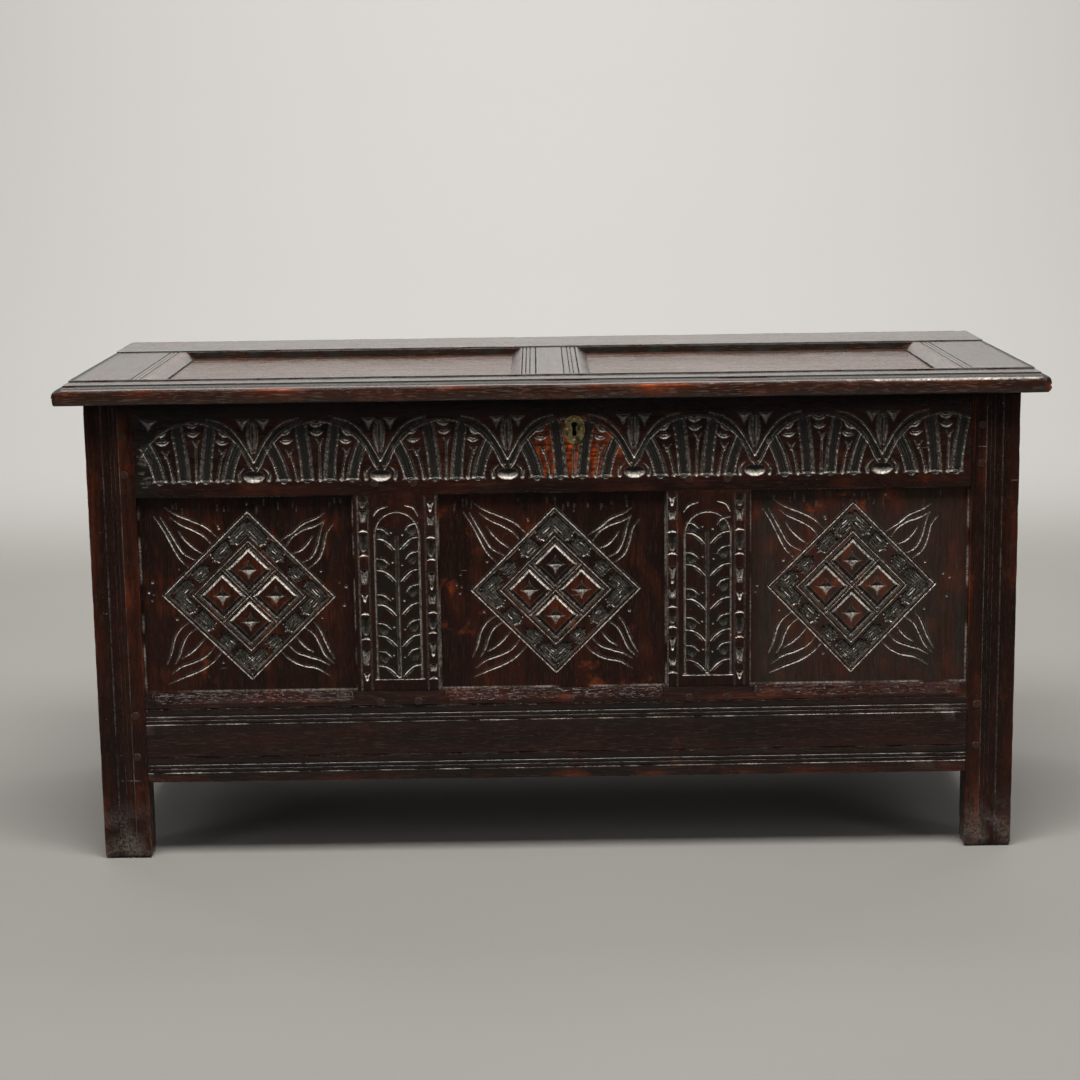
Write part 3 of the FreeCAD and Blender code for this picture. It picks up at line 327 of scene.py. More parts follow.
def make_object(name, points, faces, body, material, attributes=None, sharp=30.0):
    """A closed mesh from points in millimetres, riding on a body."""
    mesh = bpy.data.meshes.new(name)
    mesh.from_pydata((np.asarray(points) * MM).tolist(), [], faces)
    for key, values in (attributes or {}).items():
        layer = mesh.attributes.new(key, "FLOAT", "POINT")
        layer.data.foreach_set("value", np.asarray(values, dtype=np.float32))
    work = bmesh.new()
    work.from_mesh(mesh)
    bmesh.ops.recalc_face_normals(work, faces=work.faces)
    work.to_mesh(mesh)
    work.free()
    mesh.shade_smooth()
    mesh.set_sharp_from_angle(angle=math.radians(sharp))
    thing = bpy.data.objects.new(name, mesh)
    bpy.context.collection.objects.link(thing)
    mesh.materials.append(material)
    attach(thing, body)


def between_loops(first, second, count):
    """Faces between two loops of points, each given by the number of its first point."""
    faces = []
    for k in range(count):
        after = (k + 1) % count
        faces.append([first + k, first + after, second + after, second + k])
    return faces


# ---- Planed boards: a section swept along an axis ----


REED_STEPS = 10


def reeds(start, toward, put, widths=(WIDE_REED, NARROW_REED, NARROW_REED), depth=1.5, pale=0.5):
    """Corners of reeds side by side, from one plain face to the other. put takes a place and a depth. The
    first shoulder of each reed takes the given paleness: dust with a painted highlight, or, below 0, dirt
    with painted shade."""
    corners = [(*put(start, 0.0), 0.0, 0.0)]
    here = start + toward * QUIRK
    for width in widths:
        for step in range(REED_STEPS):
            angle = math.pi * step / REED_STEPS
            share = 0.5 - 0.5 * math.cos(angle)
            place = put(here + toward * width * share, depth * (1 - math.sin(angle) ** 0.8))
            corners.append((*place, 0.0, pale * (1.0, 0.7, 0.2, 0.0)[min(step, 3)]))
        here += toward * width
    corners.append((*put(here, depth), 0.0, pale))
    corners.append((*put(here + toward * QUIRK, 0.0), 0.0, pale))
    corners.append((*put(here + toward * 2 * QUIRK, 0.0), 0.0, 0.0))
    return corners


def round_section(section, cell):
    """The section with its corners rounded and its long runs divided, and how much of an arris and how pale
    each point is. A corner is its place, its radius and, where it is tinted, its paleness, from dust and
    painted highlight, which is below 0 for blackness, from dirt and painted shade; the blacker, the more
    matt."""
    count = len(section)
    points, arris, dust_and_shading = [], [], []
    for index, (a, b, radius, *pale) in enumerate(section):
        here = np.array([a, b])
        if radius <= 0:
            points.append(here)
            arris.append(0.0)
            dust_and_shading.append(pale[0] if pale else 0.0)
            continue
        before = np.array(section[index - 1][:2]) - here
        after = np.array(section[(index + 1) % count][:2]) - here
        first = here + before / np.hypot(*before) * radius
        last = here + after / np.hypot(*after) * radius
        for t in (0, 0.2, 0.4, 0.6, 0.8, 1):
            points.append(first * (1 - t) ** 2 + here * 2 * t * (1 - t) + last * t * t)
            arris.append(1.0 if 0 < t < 1 else 0.4)
            dust_and_shading.append(pale[0] if pale else 0.0)
    full, marks, dust_and_shading_full = [], [], []
    for index, point in enumerate(points):
        after = points[(index + 1) % len(points)]
        parts = max(1, int(np.hypot(*(after - point)) // cell))
        for step in range(parts):
            full.append(point + (after - point) * step / parts)
            marks.append(arris[index] if step == 0 else 0.0)
            dust_and_shading_full.append(dust_and_shading[index] if step == 0 else 0.0)
    return np.array(full), np.array(marks), np.array(dust_and_shading_full)


def section_normals(points):
    """Outward normals, for a section that runs either way round."""
    ahead = np.roll(points, -1, 0) - points
    behind = points - np.roll(points, 1, 0)
    ahead /= np.hypot(*ahead.T)[:, None] + 1e-12
    behind /= np.hypot(*behind.T)[:, None] + 1e-12
    mean = ahead + behind
    normals = np.column_stack([mean[:, 1], -mean[:, 0]])
    normals /= np.hypot(*normals.T)[:, None] + 1e-12
    turn = np.sum(points[:, 0] * np.roll(points[:, 1], -1) - np.roll(points[:, 0], -1) * points[:, 1])
    return normals if turn > 0 else -normals


# The blackest a point gets, with dirt and with painted shade in quirks and creases.
DEEP_DIRT_AND_SHADE = 2.2
ORDER = {"x": (2, 0, 1), "y": (0, 2, 1), "z": (0, 1, 2)}


def planed(name, axis, section, reach, body, material, seed, wave=0.22, nick=0.9, ends=(1.0, 1.0), cell=12.0,
           stations=(), shape=None, rub=None, edge_wear=0.5, shading_and_dust=None):
    """A board whose section is swept along an axis. Every unevenness goes inwards, so it keeps its size. rub
    gives the wear of its points, and edge_wear that of its arrises. The last function gives more paleness,
    of dust and painted highlight, or below 0 more blackness, of dirt and painted shade."""
    outline, arris, dust_and_shading = round_section(section, cell)
    normals = section_normals(outline)
    low, high = reach
    places = set(np.linspace(low, high, max(2, int((high - low) / cell)) + 1))
    for eased, end, inward in ((ends[0], low, 1), (ends[1], high, -1)):
        places |= {end + inward * eased * share for share in (0.12, 0.35, 1.0)}
    places = np.array(sorted(places | set(stations)))
    count, rows = len(outline), len(places)
    along = np.repeat(places, count)
    flat = np.tile(outline, (rows, 1))
    outward = np.tile(normals, (rows, 1))
    edge = np.tile(arris, rows)
    inset = np.zeros(len(along))
    for eased, from_end in ((ends[0], along - low), (ends[1], high - along)):
        near = unit(from_end / eased)
        inset += eased * 0.8 * (1 - np.sqrt(1 - (1 - near) ** 2))
    girth = flat[:, 0] * 0.8 + flat[:, 1] * 1.1
    depth = inset + wave * (0.5 + 0.5 * np.clip(slow_noise(along, girth, seed, 90.0), -1, 1))
    chips = slow_noise(along, girth, seed + 5, 14.0) + 0.6 * slow_noise(along, girth, seed + 9, 60.0)
    depth = depth + nick * edge * np.clip(chips - 0.15, 0, 1.2)
    flat = flat - outward * depth[:, None]
    whole = np.column_stack([flat, along])[:, ORDER[axis]]
    if shape is not None:
        whole = shape(whole)
    faces = []
    for row in range(rows - 1):
        faces += between_loops(row * count, (row + 1) * count, count)
    faces.append(list(range(count)))
    faces.append(list(range((rows - 1) * count, rows * count)))
    wear = edge_wear * edge * patchy(along, girth, seed + 13, 120.0)
    if rub is not None:
        wear = np.maximum(wear, rub(whole))
    # paleness of dust and painted highlight; below 0, blackness of dirt and painted shade
    tinted = np.tile(dust_and_shading, rows) * patchy(along, girth, seed + 17, 35.0, 0.65, 0.5, high=1.2)
    if shading_and_dust is not None:
        tinted = tinted + shading_and_dust(whole)
    attributes = {"rub": wear, "pale": np.clip(tinted, 0, None), "dirt_and_shade": np.clip(-tinted, 0, DEEP_DIRT_AND_SHADE)}
    make_object(name, whole, faces, body, material, attributes, sharp=20.0)


# ---- Carving ----


def curve(points, count=26):
    """A smooth line through points."""
    points = np.asarray(points, float)
    if len(points) == 2:
        return points[0] + (points[1] - points[0]) * np.linspace(0, 1, 3)[:, None]
    runs = np.concatenate([[0], np.cumsum(np.hypot(*np.diff(points, axis=0).T))])
    slopes = np.gradient(points, runs, axis=0)
    wanted = np.linspace(0, runs[-1], count)
    index = np.clip(np.searchsorted(runs, wanted, side="right") - 1, 0, len(points) - 2)
    span = runs[index + 1] - runs[index]
    t = ((wanted - runs[index]) / span)[:, None]
    span = span[:, None]
    first, last = points[index], points[index + 1]
    return (first * (2 * t**3 - 3 * t**2 + 1) + last * (3 * t**2 - 2 * t**3)
            + slopes[index] * span * (t**3 - 2 * t**2 + t) + slopes[index + 1] * span * (t**3 - t**2))


BOW_POINTS = 14


def bow(start, end, rise):
    """A shallow arc; rise is how far its middle lies to the left of the chord."""
    start, end = np.array(start, float), np.array(end, float)
    chord = end - start
    left = np.array([-chord[1], chord[0]]) / np.hypot(*chord)
    t = np.linspace(0, 1, BOW_POINTS)[:, None]
    return start + chord * t + left * rise * 4 * t * (1 - t)


def graded(low, high, fine_low, fine_high, step, coarse=6.0):
    """Grid lines that are close together only where there is carving."""
    parts = []
    if fine_low > low:
        parts.append(np.linspace(low, fine_low, max(1, int((fine_low - low) / coarse)) + 1)[:-1])
    parts.append(np.linspace(fine_low, fine_high, int(round((fine_high - fine_low) / step)) + 1))
    if high > fine_high:
        parts.append(np.linspace(fine_high, high, max(1, int((high - fine_high) / coarse)) + 1)[1:])
    return np.concatenate(parts)


class Relief:
    """A board's face, in millimetres across and up, lowered by cuts. Its grid is pulled onto the cuts'
    creases."""

    def __init__(self, across, up, step):
        self.axes = (across, up)
        self.step = step
        self.x, self.z = np.meshgrid(across, up, indexing="ij")
        self.cuts = []
        self.rims = []
        self.beds = []

    def add(self, low, high, depth, rims=(), beds=(), pale=1.0):
        self.cuts.append((low, high, depth, pale))
        self.rims += [np.asarray(rim, float) for rim in rims]
        self.beds += [np.asarray(bed, float) for bed in beds]

    def window(self, low, high, margin):
        found = []
        for axis, first, last in zip(self.axes, low, high):
            found.append(slice(np.searchsorted(axis, first - margin), np.searchsorted(axis, last + margin)))
        return tuple(found)

    def pull_onto_creases(self):
        """Moves each grid point that lies near a crease onto it, and notes the points that lie on a rim."""
        reach = 0.47 * self.step
        best = np.full(self.x.shape, reach)
        x, z = self.x.copy(), self.z.copy()
        rim = np.zeros(self.x.shape)
        for lines, mark in ((self.beds, 0.0), (self.rims, 1.0)):
            for line in lines:
                for (ax, az), (bx, bz) in zip(line[:-1], line[1:]):
                    low, high = (min(ax, bx), min(az, bz)), (max(ax, bx), max(az, bz))
                    where = self.window(low, high, reach)
                    gx, gz = self.x[where], self.z[where]
                    length = (bx - ax) ** 2 + (bz - az) ** 2
                    if gx.size == 0 or length < 1e-9:
                        continue
                    t = unit(((gx - ax) * (bx - ax) + (gz - az) * (bz - az)) / length)
                    px, pz = ax + t * (bx - ax), az + t * (bz - az)
                    away = np.hypot(gx - px, gz - pz)
                    near = away < best[where]
                    x[where] = np.where(near, px, x[where])
                    z[where] = np.where(near, pz, z[where])
                    rim[where] = np.where(near, mark, rim[where])
                    best[where] = np.where(near, away, best[where])
        inside = (slice(1, -1), slice(1, -1))
        self.x[inside], self.z[inside] = x[inside], z[inside]
        return rim

    def depth_at(self, x, z):
        depth = np.zeros_like(x)
        for low, high, cut, _ in self.cuts:
            where = self.window(low, high, 1.5 * self.step)
            if x[where].size:
                depth[where] = np.maximum(depth[where], cut(x[where], z[where]))
        return depth

    def tints(self, depth):
        """How pale and how black each point is. The cut that reaches deepest there says how pale its slopes
        are: those that face up are the palest, a painted highlight of the light from above. Points deep in a
        cut are black, a painted shade."""
        pale = np.zeros_like(depth)
        for low, high, cut, weight in self.cuts:
            where = self.window(low, high, 1.5 * self.step)
            if pale[where].size:
                here = cut(self.x[where], self.z[where])
                deepest = (here >= depth[where] - 1e-6) & (here > 0)
                pale[where] = np.where(deepest, weight * unit(here / 0.5), pale[where])
        upward = np.gradient(depth, axis=1) / np.maximum(np.gradient(self.z, axis=1), 0.2)
        sideways = np.abs(np.gradient(depth, axis=0) / np.maximum(np.gradient(self.x, axis=0), 0.2))
        # painted highlight: slopes that face up, towards the light from above, are made paler
        pale = pale * np.clip(0.10 + 1.1 * upward + 0.4 * sideways, 0, 1.3)
        # painted shade: points deep in a cut are made black
        return pale, 0.85 * unit(depth / 0.7)


def along_lines(path, x, z):
    """For points: how far the nearest place of a polyline is, where along it, on which side, and how far
    along."""
    starts, runs = path[:-1], np.diff(path, axis=0)
    squares = (runs**2).sum(1) + 1e-12
    px, pz = x.ravel()[:, None], z.ravel()[:, None]
    t = unit(((px - starts[:, 0]) * runs[:, 0] + (pz - starts[:, 1]) * runs[:, 1]) / squares)
    ox = px - starts[:, 0] - t * runs[:, 0]
    oz = pz - starts[:, 1] - t * runs[:, 1]
    away = np.hypot(ox, oz)
    nearest = away.argmin(1)
    rows = np.arange(len(nearest))
    cross = runs[nearest, 0] * oz[rows, nearest] - runs[nearest, 1] * ox[rows, nearest]
    share = (nearest + t[rows, nearest]) / len(runs)
    side = np.where(cross >= 0, 1.0, -1.0)
    return away[rows, nearest].reshape(x.shape), share.reshape(x.shape), side.reshape(x.shape)


RIPPLE_LENGTH = 3.4
KNOTS = np.linspace(0, 1, 33)


def groove(relief, path, width, depth, lean=0.0, flat=0.0, ripple=0.0, pale=1.0):
    """A cut along a path. Width and depth are numbers, or lists spread along it; lean makes its left side
    wider; flat is the share of its width that is level; ripple reeds a level floor."""
    path = np.asarray(path, float)
    widths, depths = (np.interp(KNOTS, np.linspace(0, 1, np.size(values)), np.atleast_1d(values))
                      for values in (width, depth))
    widths /= 2
    reach = widths.max() * (1 + abs(lean))

    def cut(x, z):
        away, share, side = along_lines(path, x, z)
        half = np.interp(share, KNOTS, widths) * (1 + lean * side)
        low = np.interp(share, KNOTS, depths)
        across = away / np.maximum(half, 1e-6)
        slope = unit((1 - across) / (1 - flat))
        if ripple:
            reeded = 0.5 + 0.5 * np.cos(side * away * math.tau / RIPPLE_LENGTH)
            slope = slope * (1 - ripple * reeded * (across < flat))
        return low * slope

    tangents = np.gradient(path, axis=0)
    tangents /= np.hypot(*tangents.T)[:, None] + 1e-12
    left = np.column_stack([-tangents[:, 1], tangents[:, 0]])
    half = np.interp(np.linspace(0, 1, len(path)), KNOTS, widths)[:, None]
    rims = [path + left * half * (1 + lean), path - left * half * (1 - lean)]
    beds = [path] if flat == 0 else [path + left * half * flat, path - left * half * flat]
    relief.add(path.min(0) - reach, path.max(0) + reach, cut, rims, beds, pale)


STAR_WAIST = 0.62


def star(relief, centre, reach, depth, pale=1.0):
    """A four-pointed punch with hollow sides, deepest in the middle."""
    cx, cz = centre
    rx, rz = reach

    def cut(x, z):
        fall = np.abs((x - cx) / rx) ** STAR_WAIST + np.abs((z - cz) / rz) ** STAR_WAIST
        return depth * unit(1 - fall) ** 0.8

    t = np.linspace(0, 1, 9)
    fall = (1 - t**STAR_WAIST) ** (1 / STAR_WAIST)
    rims = [np.column_stack([cx + sx * rx * t, cz + sz * rz * fall]) for sx in (-1, 1) for sz in (-1, 1)]
    beds = [np.array([[cx - rx, cz], [cx + rx, cz]]), np.array([[cx, cz - rz], [cx, cz + rz]])]
    relief.add((cx - rx, cz - rz), (cx + rx, cz + rz), cut, rims, beds, pale)


def bowl(relief, centre, reach, depth, power=0.8, pale=0.3):
    """A round or oval hollow."""
    cx, cz = centre
    rx, rz = reach

    def cut(x, z):
        away = ((x - cx) / rx) ** 2 + ((z - cz) / rz) ** 2
        return depth * unit(1 - away) ** power

    turn = np.linspace(0, math.tau, 32)
    rim = np.column_stack([cx + rx * np.cos(turn), cz + rz * np.sin(turn)])
    relief.add((cx - rx, cz - rz), (cx + rx, cz + rz), cut, [rim], (), pale)


def stab(relief, left, right, ramp_rise, wall_rise, depth, pale=1.0):
    """A gouge's stab: a ramp that falls from one arc to a steep wall along another. Both arcs run from left
    to right, and a rise is how far the arc's middle lies to the left of that chord."""
    left, right = np.array(left, float), np.array(right, float)
    chord = right - left
    length = np.hypot(*chord)
    run = chord / length
    up = np.array([-run[1], run[0]])

    def cut(x, z):
        t = ((x - left[0]) * run[0] + (z - left[1]) * run[1]) / length
        s = (x - left[0]) * up[0] + (z - left[1]) * up[1]
        belly = 4 * t * (1 - t)
        gap = (wall_rise - ramp_rise) * belly
        share = (s - ramp_rise * belly) / np.where(np.abs(gap) < 1e-6, 1e-6, gap)
        inside = (t > 0) & (t < 1) & (share > 0) & (share <= 1.02)
        return np.where(inside, depth * unit(share) * np.sqrt(unit(belly)), 0.0)

    arcs = [bow(left, right, ramp_rise), bow(left, right, wall_rise)]
    corners = np.vstack(arcs)
    relief.add(corners.min(0), corners.max(0), cut, [arcs[0]], [arcs[1]], pale)


def facet(relief, rim, low, depth, hollow=0.0, pale=0.8):
    """A punch with straight sides that all slope to one lowest point; hollow bends the sides inwards."""
    rim, low = np.asarray(rim, float), np.asarray(low, float)
    count = len(rim)
    first, second = rim[1] - rim[0], low - rim[0]
    if first[0] * second[1] < first[1] * second[0]:
        rim = rim[::-1]

    def cut(x, z):
        fall = np.full(x.shape, np.inf)
        for index in range(count):
            a, b = rim[index], rim[(index + 1) % count]
            nx, nz = -(b[1] - a[1]), b[0] - a[0]
            full = (low[0] - a[0]) * nx + (low[1] - a[1]) * nz
            t = ((x - a[0]) * (b[0] - a[0]) + (z - a[1]) * (b[1] - a[1])) / ((b - a) ** 2).sum()
            bend = hollow * 4 * unit(t * (1 - t))
            fall = np.minimum(fall, ((x - a[0]) * nx + (z - a[1]) * nz) / full - bend)
        return depth * unit(fall)

    rims = []
    for index in range(count):
        a, b = rim[index], rim[(index + 1) % count]
        inward = hollow * ((low - a) - (b - a) * np.dot(low - a, b - a) / ((b - a) ** 2).sum())
        t = np.linspace(0, 1, 7)[:, None]
        rims.append(a + (b - a) * t + inward * 4 * t * (1 - t))
    beds = [np.array([corner, low]) for corner in rim]
    relief.add(rim.min(0), rim.max(0), cut, rims, beds, pale)


def dot(relief, centre, radius=1.3, depth=1.0):
    bowl(relief, centre, (radius, radius * 1.15), depth, 0.6, 1.0)


TONGUE_STEP = 4.0


class Shell:
    """Points and faces of a closed board, built from its carved front backwards. ring holds the numbers of
    the points round the front, and outline their places."""

    def __init__(self, front, faces, ring):
        self.points = [front]
        self.faces = faces
        self.ring = ring
        self.outline = front[ring]
        self.total = len(front)

    def add(self, points):
        """Adds points and returns their numbers."""
        points = np.asarray(points, float)
        self.points.append(points)
        self.total += len(points)
        return list(range(self.total - len(points), self.total))

    def wrap(self, first, outline, level):
        """Adds an outline again at another depth, with the faces between it and the loop before it."""
        behind = outline.copy()
        behind[:, 1] = level
        second = self.add(behind)
        for k in range(len(first)):
            after = (k + 1) % len(first)
            self.faces.append([first[after], first[k], second[k], second[after]])
        return second

    def close(self, back):
        self.faces.append(self.wrap(self.ring, self.outline, back))

    def close_with_tongue(self, back, margin):
        """Closes the back. Round its edge the board is thinner, and stands in a groove there."""
        low, high = self.outline.min(0), self.outline.max(0)
        middle = (low + high) / 2
        shrink = 1 - 2 * (margin + 1) / (high - low)
        shrink[1] = 1
        inner = middle + (self.outline - middle) * shrink
        loop = self.wrap(self.ring, self.outline, back - TONGUE_STEP)
        loop = self.wrap(loop, inner, back - TONGUE_STEP)
        self.faces.append(self.wrap(loop, inner, back))

    def close_with_notch(self, back, notch):
        """Closes the back round a recess in it that is open at the top."""
        left, right, bottom, floor = notch
        behind, ring = self.outline.copy(), self.ring
        top = behind[:, 2].max()
        inside = (behind[:, 0] > left + 0.01) & (behind[:, 0] < right - 0.01) & (behind[:, 2] > top - 0.01)
        behind[:, 1] = np.where(inside, floor, back)
        loop = self.add(behind)
        order = np.nonzero(inside)[0]
        before, after = order[0] - 1, order[-1] + 1
        levels = ((floor, top), (floor, bottom), (back, bottom))
        left_top, right_top, left_low, right_low, left_back, right_back = self.add(
            [(behind[end, 0], depth, height) for depth, height in levels for end in (after, before)])
        for k in range(len(ring)):
            following = (k + 1) % len(ring)
            one = right_top if k == before else loop[k]
            two = left_top if following == after else loop[following]
            self.faces.append([ring[following], ring[k], one, two])
        self.faces += [
            [loop[before], right_top, ring[before]],
            [loop[after], ring[after], left_top],
            [right_top, *loop[before + 1:after], left_top, left_low, right_low],
            [loop[before], right_top, right_low, right_back],
            [loop[after], left_top, left_low, left_back],
            [left_low, right_low, right_back, left_back],
            [*loop[after:], *loop[:before + 1], right_back, left_back],
        ]


def cell_corners(grid):
    """The four corners of a grid's cells, going round."""
    return grid[:-1, :-1], grid[1:, :-1], grid[1:, 1:], grid[:-1, 1:]


def split_cells(relief, depth, index):
    """Two triangles to each cell of a relief, parted along the diagonal that lies closer to its cuts."""
    middle = relief.depth_at(sum(cell_corners(relief.x)) / 4, sum(cell_corners(relief.z)) / 4).ravel()
    height = depth.ravel()
    a, b, c, d = (corner.ravel() for corner in cell_corners(index))
    straight = np.abs((height[a] + height[c]) / 2 - middle) <= np.abs((height[b] + height[d]) / 2 - middle)
    straight = straight[:, None]
    first = np.where(straight, np.column_stack([a, b, c]), np.column_stack([a, b, d]))
    second = np.where(straight, np.column_stack([a, c, d]), np.column_stack([b, c, d]))
    return first.tolist() + second.tolist()


def relief_piece(name, relief, face, back, material, seed, wave=0.3, soft=1.2, notch=None, rub=None,
                 shadow_and_dirt=None, margin=0.0):
    """A closed board of the carcass whose front is a relief. notch is a recess (left, right, bottom, floor)
    cut in from behind and open at the top. rub gives how worn its points are, and the function after it how
    black they are, with dirt and with painted shadow. margin is the width of thin tongue round the board's
    edge."""
    rim = relief.pull_onto_creases()
    x, z = relief.x, relief.z
    depth = relief.depth_at(x, z)
    low_x, high_x = relief.axes[0][0] + margin, relief.axes[0][-1] - margin
    low_z, high_z = relief.axes[1][0] + margin, relief.axes[1][-1] - margin
    border = np.minimum(np.minimum(x - low_x, high_x - x), np.minimum(z - low_z, high_z - z))
    eased = soft * 0.5 * unit(1 - np.clip(border, 0, None) / soft) ** 2 if margin == 0 else 0.0
    uneven = wave * (0.5 + 0.5 * np.clip(slow_noise(x, z, seed, 70.0), -1, 1))
    front = np.column_stack([x.ravel(), (face + depth + uneven + eased).ravel(), z.ravel()])
    index = np.arange(x.size).reshape(x.shape)
    ring = np.concatenate([index[:, 0], index[-1, 1:], index[-2::-1, -1], index[0, -2:0:-1]])
    shell = Shell(front, split_cells(relief, depth, index), ring.tolist())
    if notch:
        shell.close_with_notch(back, notch)
    elif margin:
        shell.close_with_tongue(back, margin)
    else:
        shell.close(back)
    pale, dirt_and_shade = relief.tints(depth)
    # pale along the cuts' rims: worn edges, with a painted highlight on the arris
    pale = np.maximum(pale, 0.12 * rim)
    if shadow_and_dirt:
        dirt_and_shade = np.maximum(dirt_and_shade, shadow_and_dirt(x, z))
    if margin:
        tinted = 0.5 * patchy(x, z, seed + 60, 50.0)
        pale = np.maximum(pale, tinted * unit(1.4 - np.abs(border - 1.2)) * (border > -1))
    glow = rub(x, z) if rub else np.zeros_like(x)
    clean = np.zeros(shell.total - x.size)
    attributes = {}
    for key, values in (("pale", pale), ("dirt_and_shade", dirt_and_shade), ("rub", glow * (1 - dirt_and_shade))):
        attributes[key] = np.concatenate([values.ravel(), clean])
    make_object(name, np.vstack(shell.points), shell.faces, "carcass", material, attributes, sharp=24.0)


# ---- The top rail's lunettes ----

FLUTE_BASE = 487.0
# All of this is across from an arch's middle, and up. A flute is its foot, its width there, its head, its
# width there and its level; a petal is its foot, its head and the head's level; a smile is its two ends.
ARCH = ((-76.5, 498), (-72.5, 503), (-61, 525.5), (-47, 541.5), (-30, 553.5), (-15, 559), (0, 560.8),
        (15, 559), (30, 553.5), (47, 541.5), (61, 525.5), (72.5, 503), (76.5, 498))
FLUTES = ((-41.5, 13, -59, 11.5, 533), (-12, 12, -19.5, 12, 554), (14.5, 11.5, 23, 10, 554),
          (43, 11.5, 56, 9.5, 532))
PETALS = ((-25, -34, 523), (2.5, 4, 536), (30, 37, 524))
SMILES = (((-47, 546), (-31, 553)), ((-9.5, 559.5), (9.5, 559.5)), ((31, 553), (47.5, 544)),
          ((-47, 538), (-28, 539.5)), ((-9, 549), (10, 549)), ((26.5, 540.5), (45, 536.5)))


def lunette(relief, centre, left_end, right_end, dice):
    """One arch of the top rail with its fan of flutes, petals and gouge cuts."""
    shift = np.array([centre, 0.0])

    def shown(x):
        return left_end <= x <= right_end

    arch = np.array([point for point in curve(ARCH, 60) + shift if shown(point[0])])
    groove(relief, arch, 2.6, 1.7, lean=0.15)
    for base, width, top, top_width, level in FLUTES:
        if not (shown(centre + base - width / 2) and shown(centre + base + width / 2)):
            continue
        base += dice.uniform(-1, 1)
        lines = []
        for side in (-1, 1):
            foot = centre + base + side * width / 2
            head = centre + top + side * top_width / 2
            head_level = level + (-1 if np.sign(top) == side else 1) * 3.5
            bend = (head - foot) * 0.36
            lines.append(curve([(foot, FLUTE_BASE + 2), (foot + bend, (FLUTE_BASE + head_level) / 2),
                                (head, head_level)]))
        middle = (lines[0] + lines[1]) / 2
        groove(relief, middle, [width * 0.92, top_width * 0.92], 1.4, flat=0.8, ripple=0.45, pale=0.05)
        for side, line in zip((-1, 1), lines):
            lit = side * top < 0
            widths = [4.8, 4.2, 3.4] if lit else [2.8, 2.3, 2.0]
            groove(relief, line, widths, [2.2, 1.9, 1.4], pale=0.75 if lit else 1.0)
        left, right = lines[0][0][0], lines[1][0][0]
        stab(relief, (left - 2.5, FLUTE_BASE - 0.4), (right + 2.5, FLUTE_BASE - 0.4), 0.3, 2.8, 2.0, pale=0.6)
        for x, out in ((left, -1), (right, 1)):
            facet(relief,
                  [(x + out * 4.2, FLUTE_BASE - 1), (x - out * 1.6, FLUTE_BASE - 0.6), (x, FLUTE_BASE + 8)],
                  (x + out * 0.4, FLUTE_BASE + 3.4), 2.1, 0.10, pale=1.0)
    for base, top, level in PETALS:
        foot, head = centre + base + dice.uniform(-0.8, 0.8), centre + top
        if not (shown(foot - 3) and shown(head - 4) and shown(head + 4)):
            continue
        line = curve([(foot, FLUTE_BASE), (foot + (head - foot) * 0.4, (FLUTE_BASE + level) / 2),
                      (head, level)])
        groove(relief, line, [3.8, 2.8, 2.4, 2.2], [2.0, 1.7, 1.4, 1.0], pale=0.9)
        facet(relief,
              [(foot - 3.8, FLUTE_BASE - 0.8), (foot + 3.8, FLUTE_BASE - 0.8), (foot, FLUTE_BASE + 9)],
              (foot, FLUTE_BASE + 3.4), 2.2, 0.10, pale=1.0)
        for side in (-1, 1):
            arm = curve([(head + side * 0.4, level - 6), (head + side * 1.6, level - 1),
                         (head + side * 4.8, level + 3.5)])
            groove(relief, arm, [1.8, 2.0, 1.2], [1.2, 1.1, 0.4], pale=0.9)
    for left, right in SMILES:
        if shown(centre + left[0]) and shown(centre + right[0]):
            start, end = np.array(left) + shift, np.array(right) + shift
            groove(relief, bow(start, end, -0.4)[3:-3], [1.8, 5.6, 1.8], [0.6, 2.3, 0.6], pale=0.5)
            stab(relief, start, end, -6.2 + dice.uniform(-0.5, 0.5), -3.0, 2.4, pale=1.0)


ARM = ((0, 511), (7, 523.5), (17, 540), (27, 552), (39, 560), (57, 565))
TROUGH = ((4, 505.5), (12, 524.5), (22.5, 540.5), (35, 552), (48, 558.8), (60, 562))
VEIN = ((1.6, 522), (3.6, 534), (4.2, 548), (2.6, 561))
WING = ((12, 503.5), (18.5, 497), (18, 488))


def spandrel(relief, middle, dice):
    """The V between two arches: its outer lines, an upright leaf, two punches and the hollow below."""
    for side in (-1, 1):
        arm, trough, vein, wing = (curve([(middle + side * x, z) for x, z in points], count)
                                   for points, count in ((ARM, 34), (TROUGH, 30), (VEIN, 26), (WING, 26)))
        groove(relief, arm, [2.9, 2.7, 2.4, 1.8], [1.9, 1.7, 1.3, 0.6], lean=0.2 * side, pale=1.25)
        groove(relief, trough, [5.0, 6.2, 5.6, 4.4, 3.0, 1.6], [1.3, 1.4, 1.2, 0.8, 0.5], flat=0.75,
               pale=0.05)
        groove(relief, vein, [2.0, 5.4, 6.0, 4.0], [0.8, 2.1, 2.3, 1.3], lean=0.3, pale=0.6)
        punch = middle + side * 13
        facet(relief, [(punch - 9, 564.8), (punch + 9, 564.8), (punch + side * 0.5, 549.5)], (punch, 561),
              2.2, 0.17)
        groove(relief, wing, [1.4, 3.4, 5.2], [0.7, 1.7, 2.0])
    bottom = (middle + dice.uniform(-0.5, 0.5), 492.4)
    # painted highlight: the hollow is pale, and a groove along its lower rim paints a bright crescent
    bowl(relief, bottom, (13.3, 7.6), 3.6, power=1.0, pale=1.0)
    lip = bow((bottom[0] - 7.5, bottom[1] - 3.4), (bottom[0] + 10.5, bottom[1] - 2.4), -2.0)
    groove(relief, lip, [0.8, 2.6, 3.0, 1.0], [2.0, 2.4, 2.4, 1.6], pale=2.0)


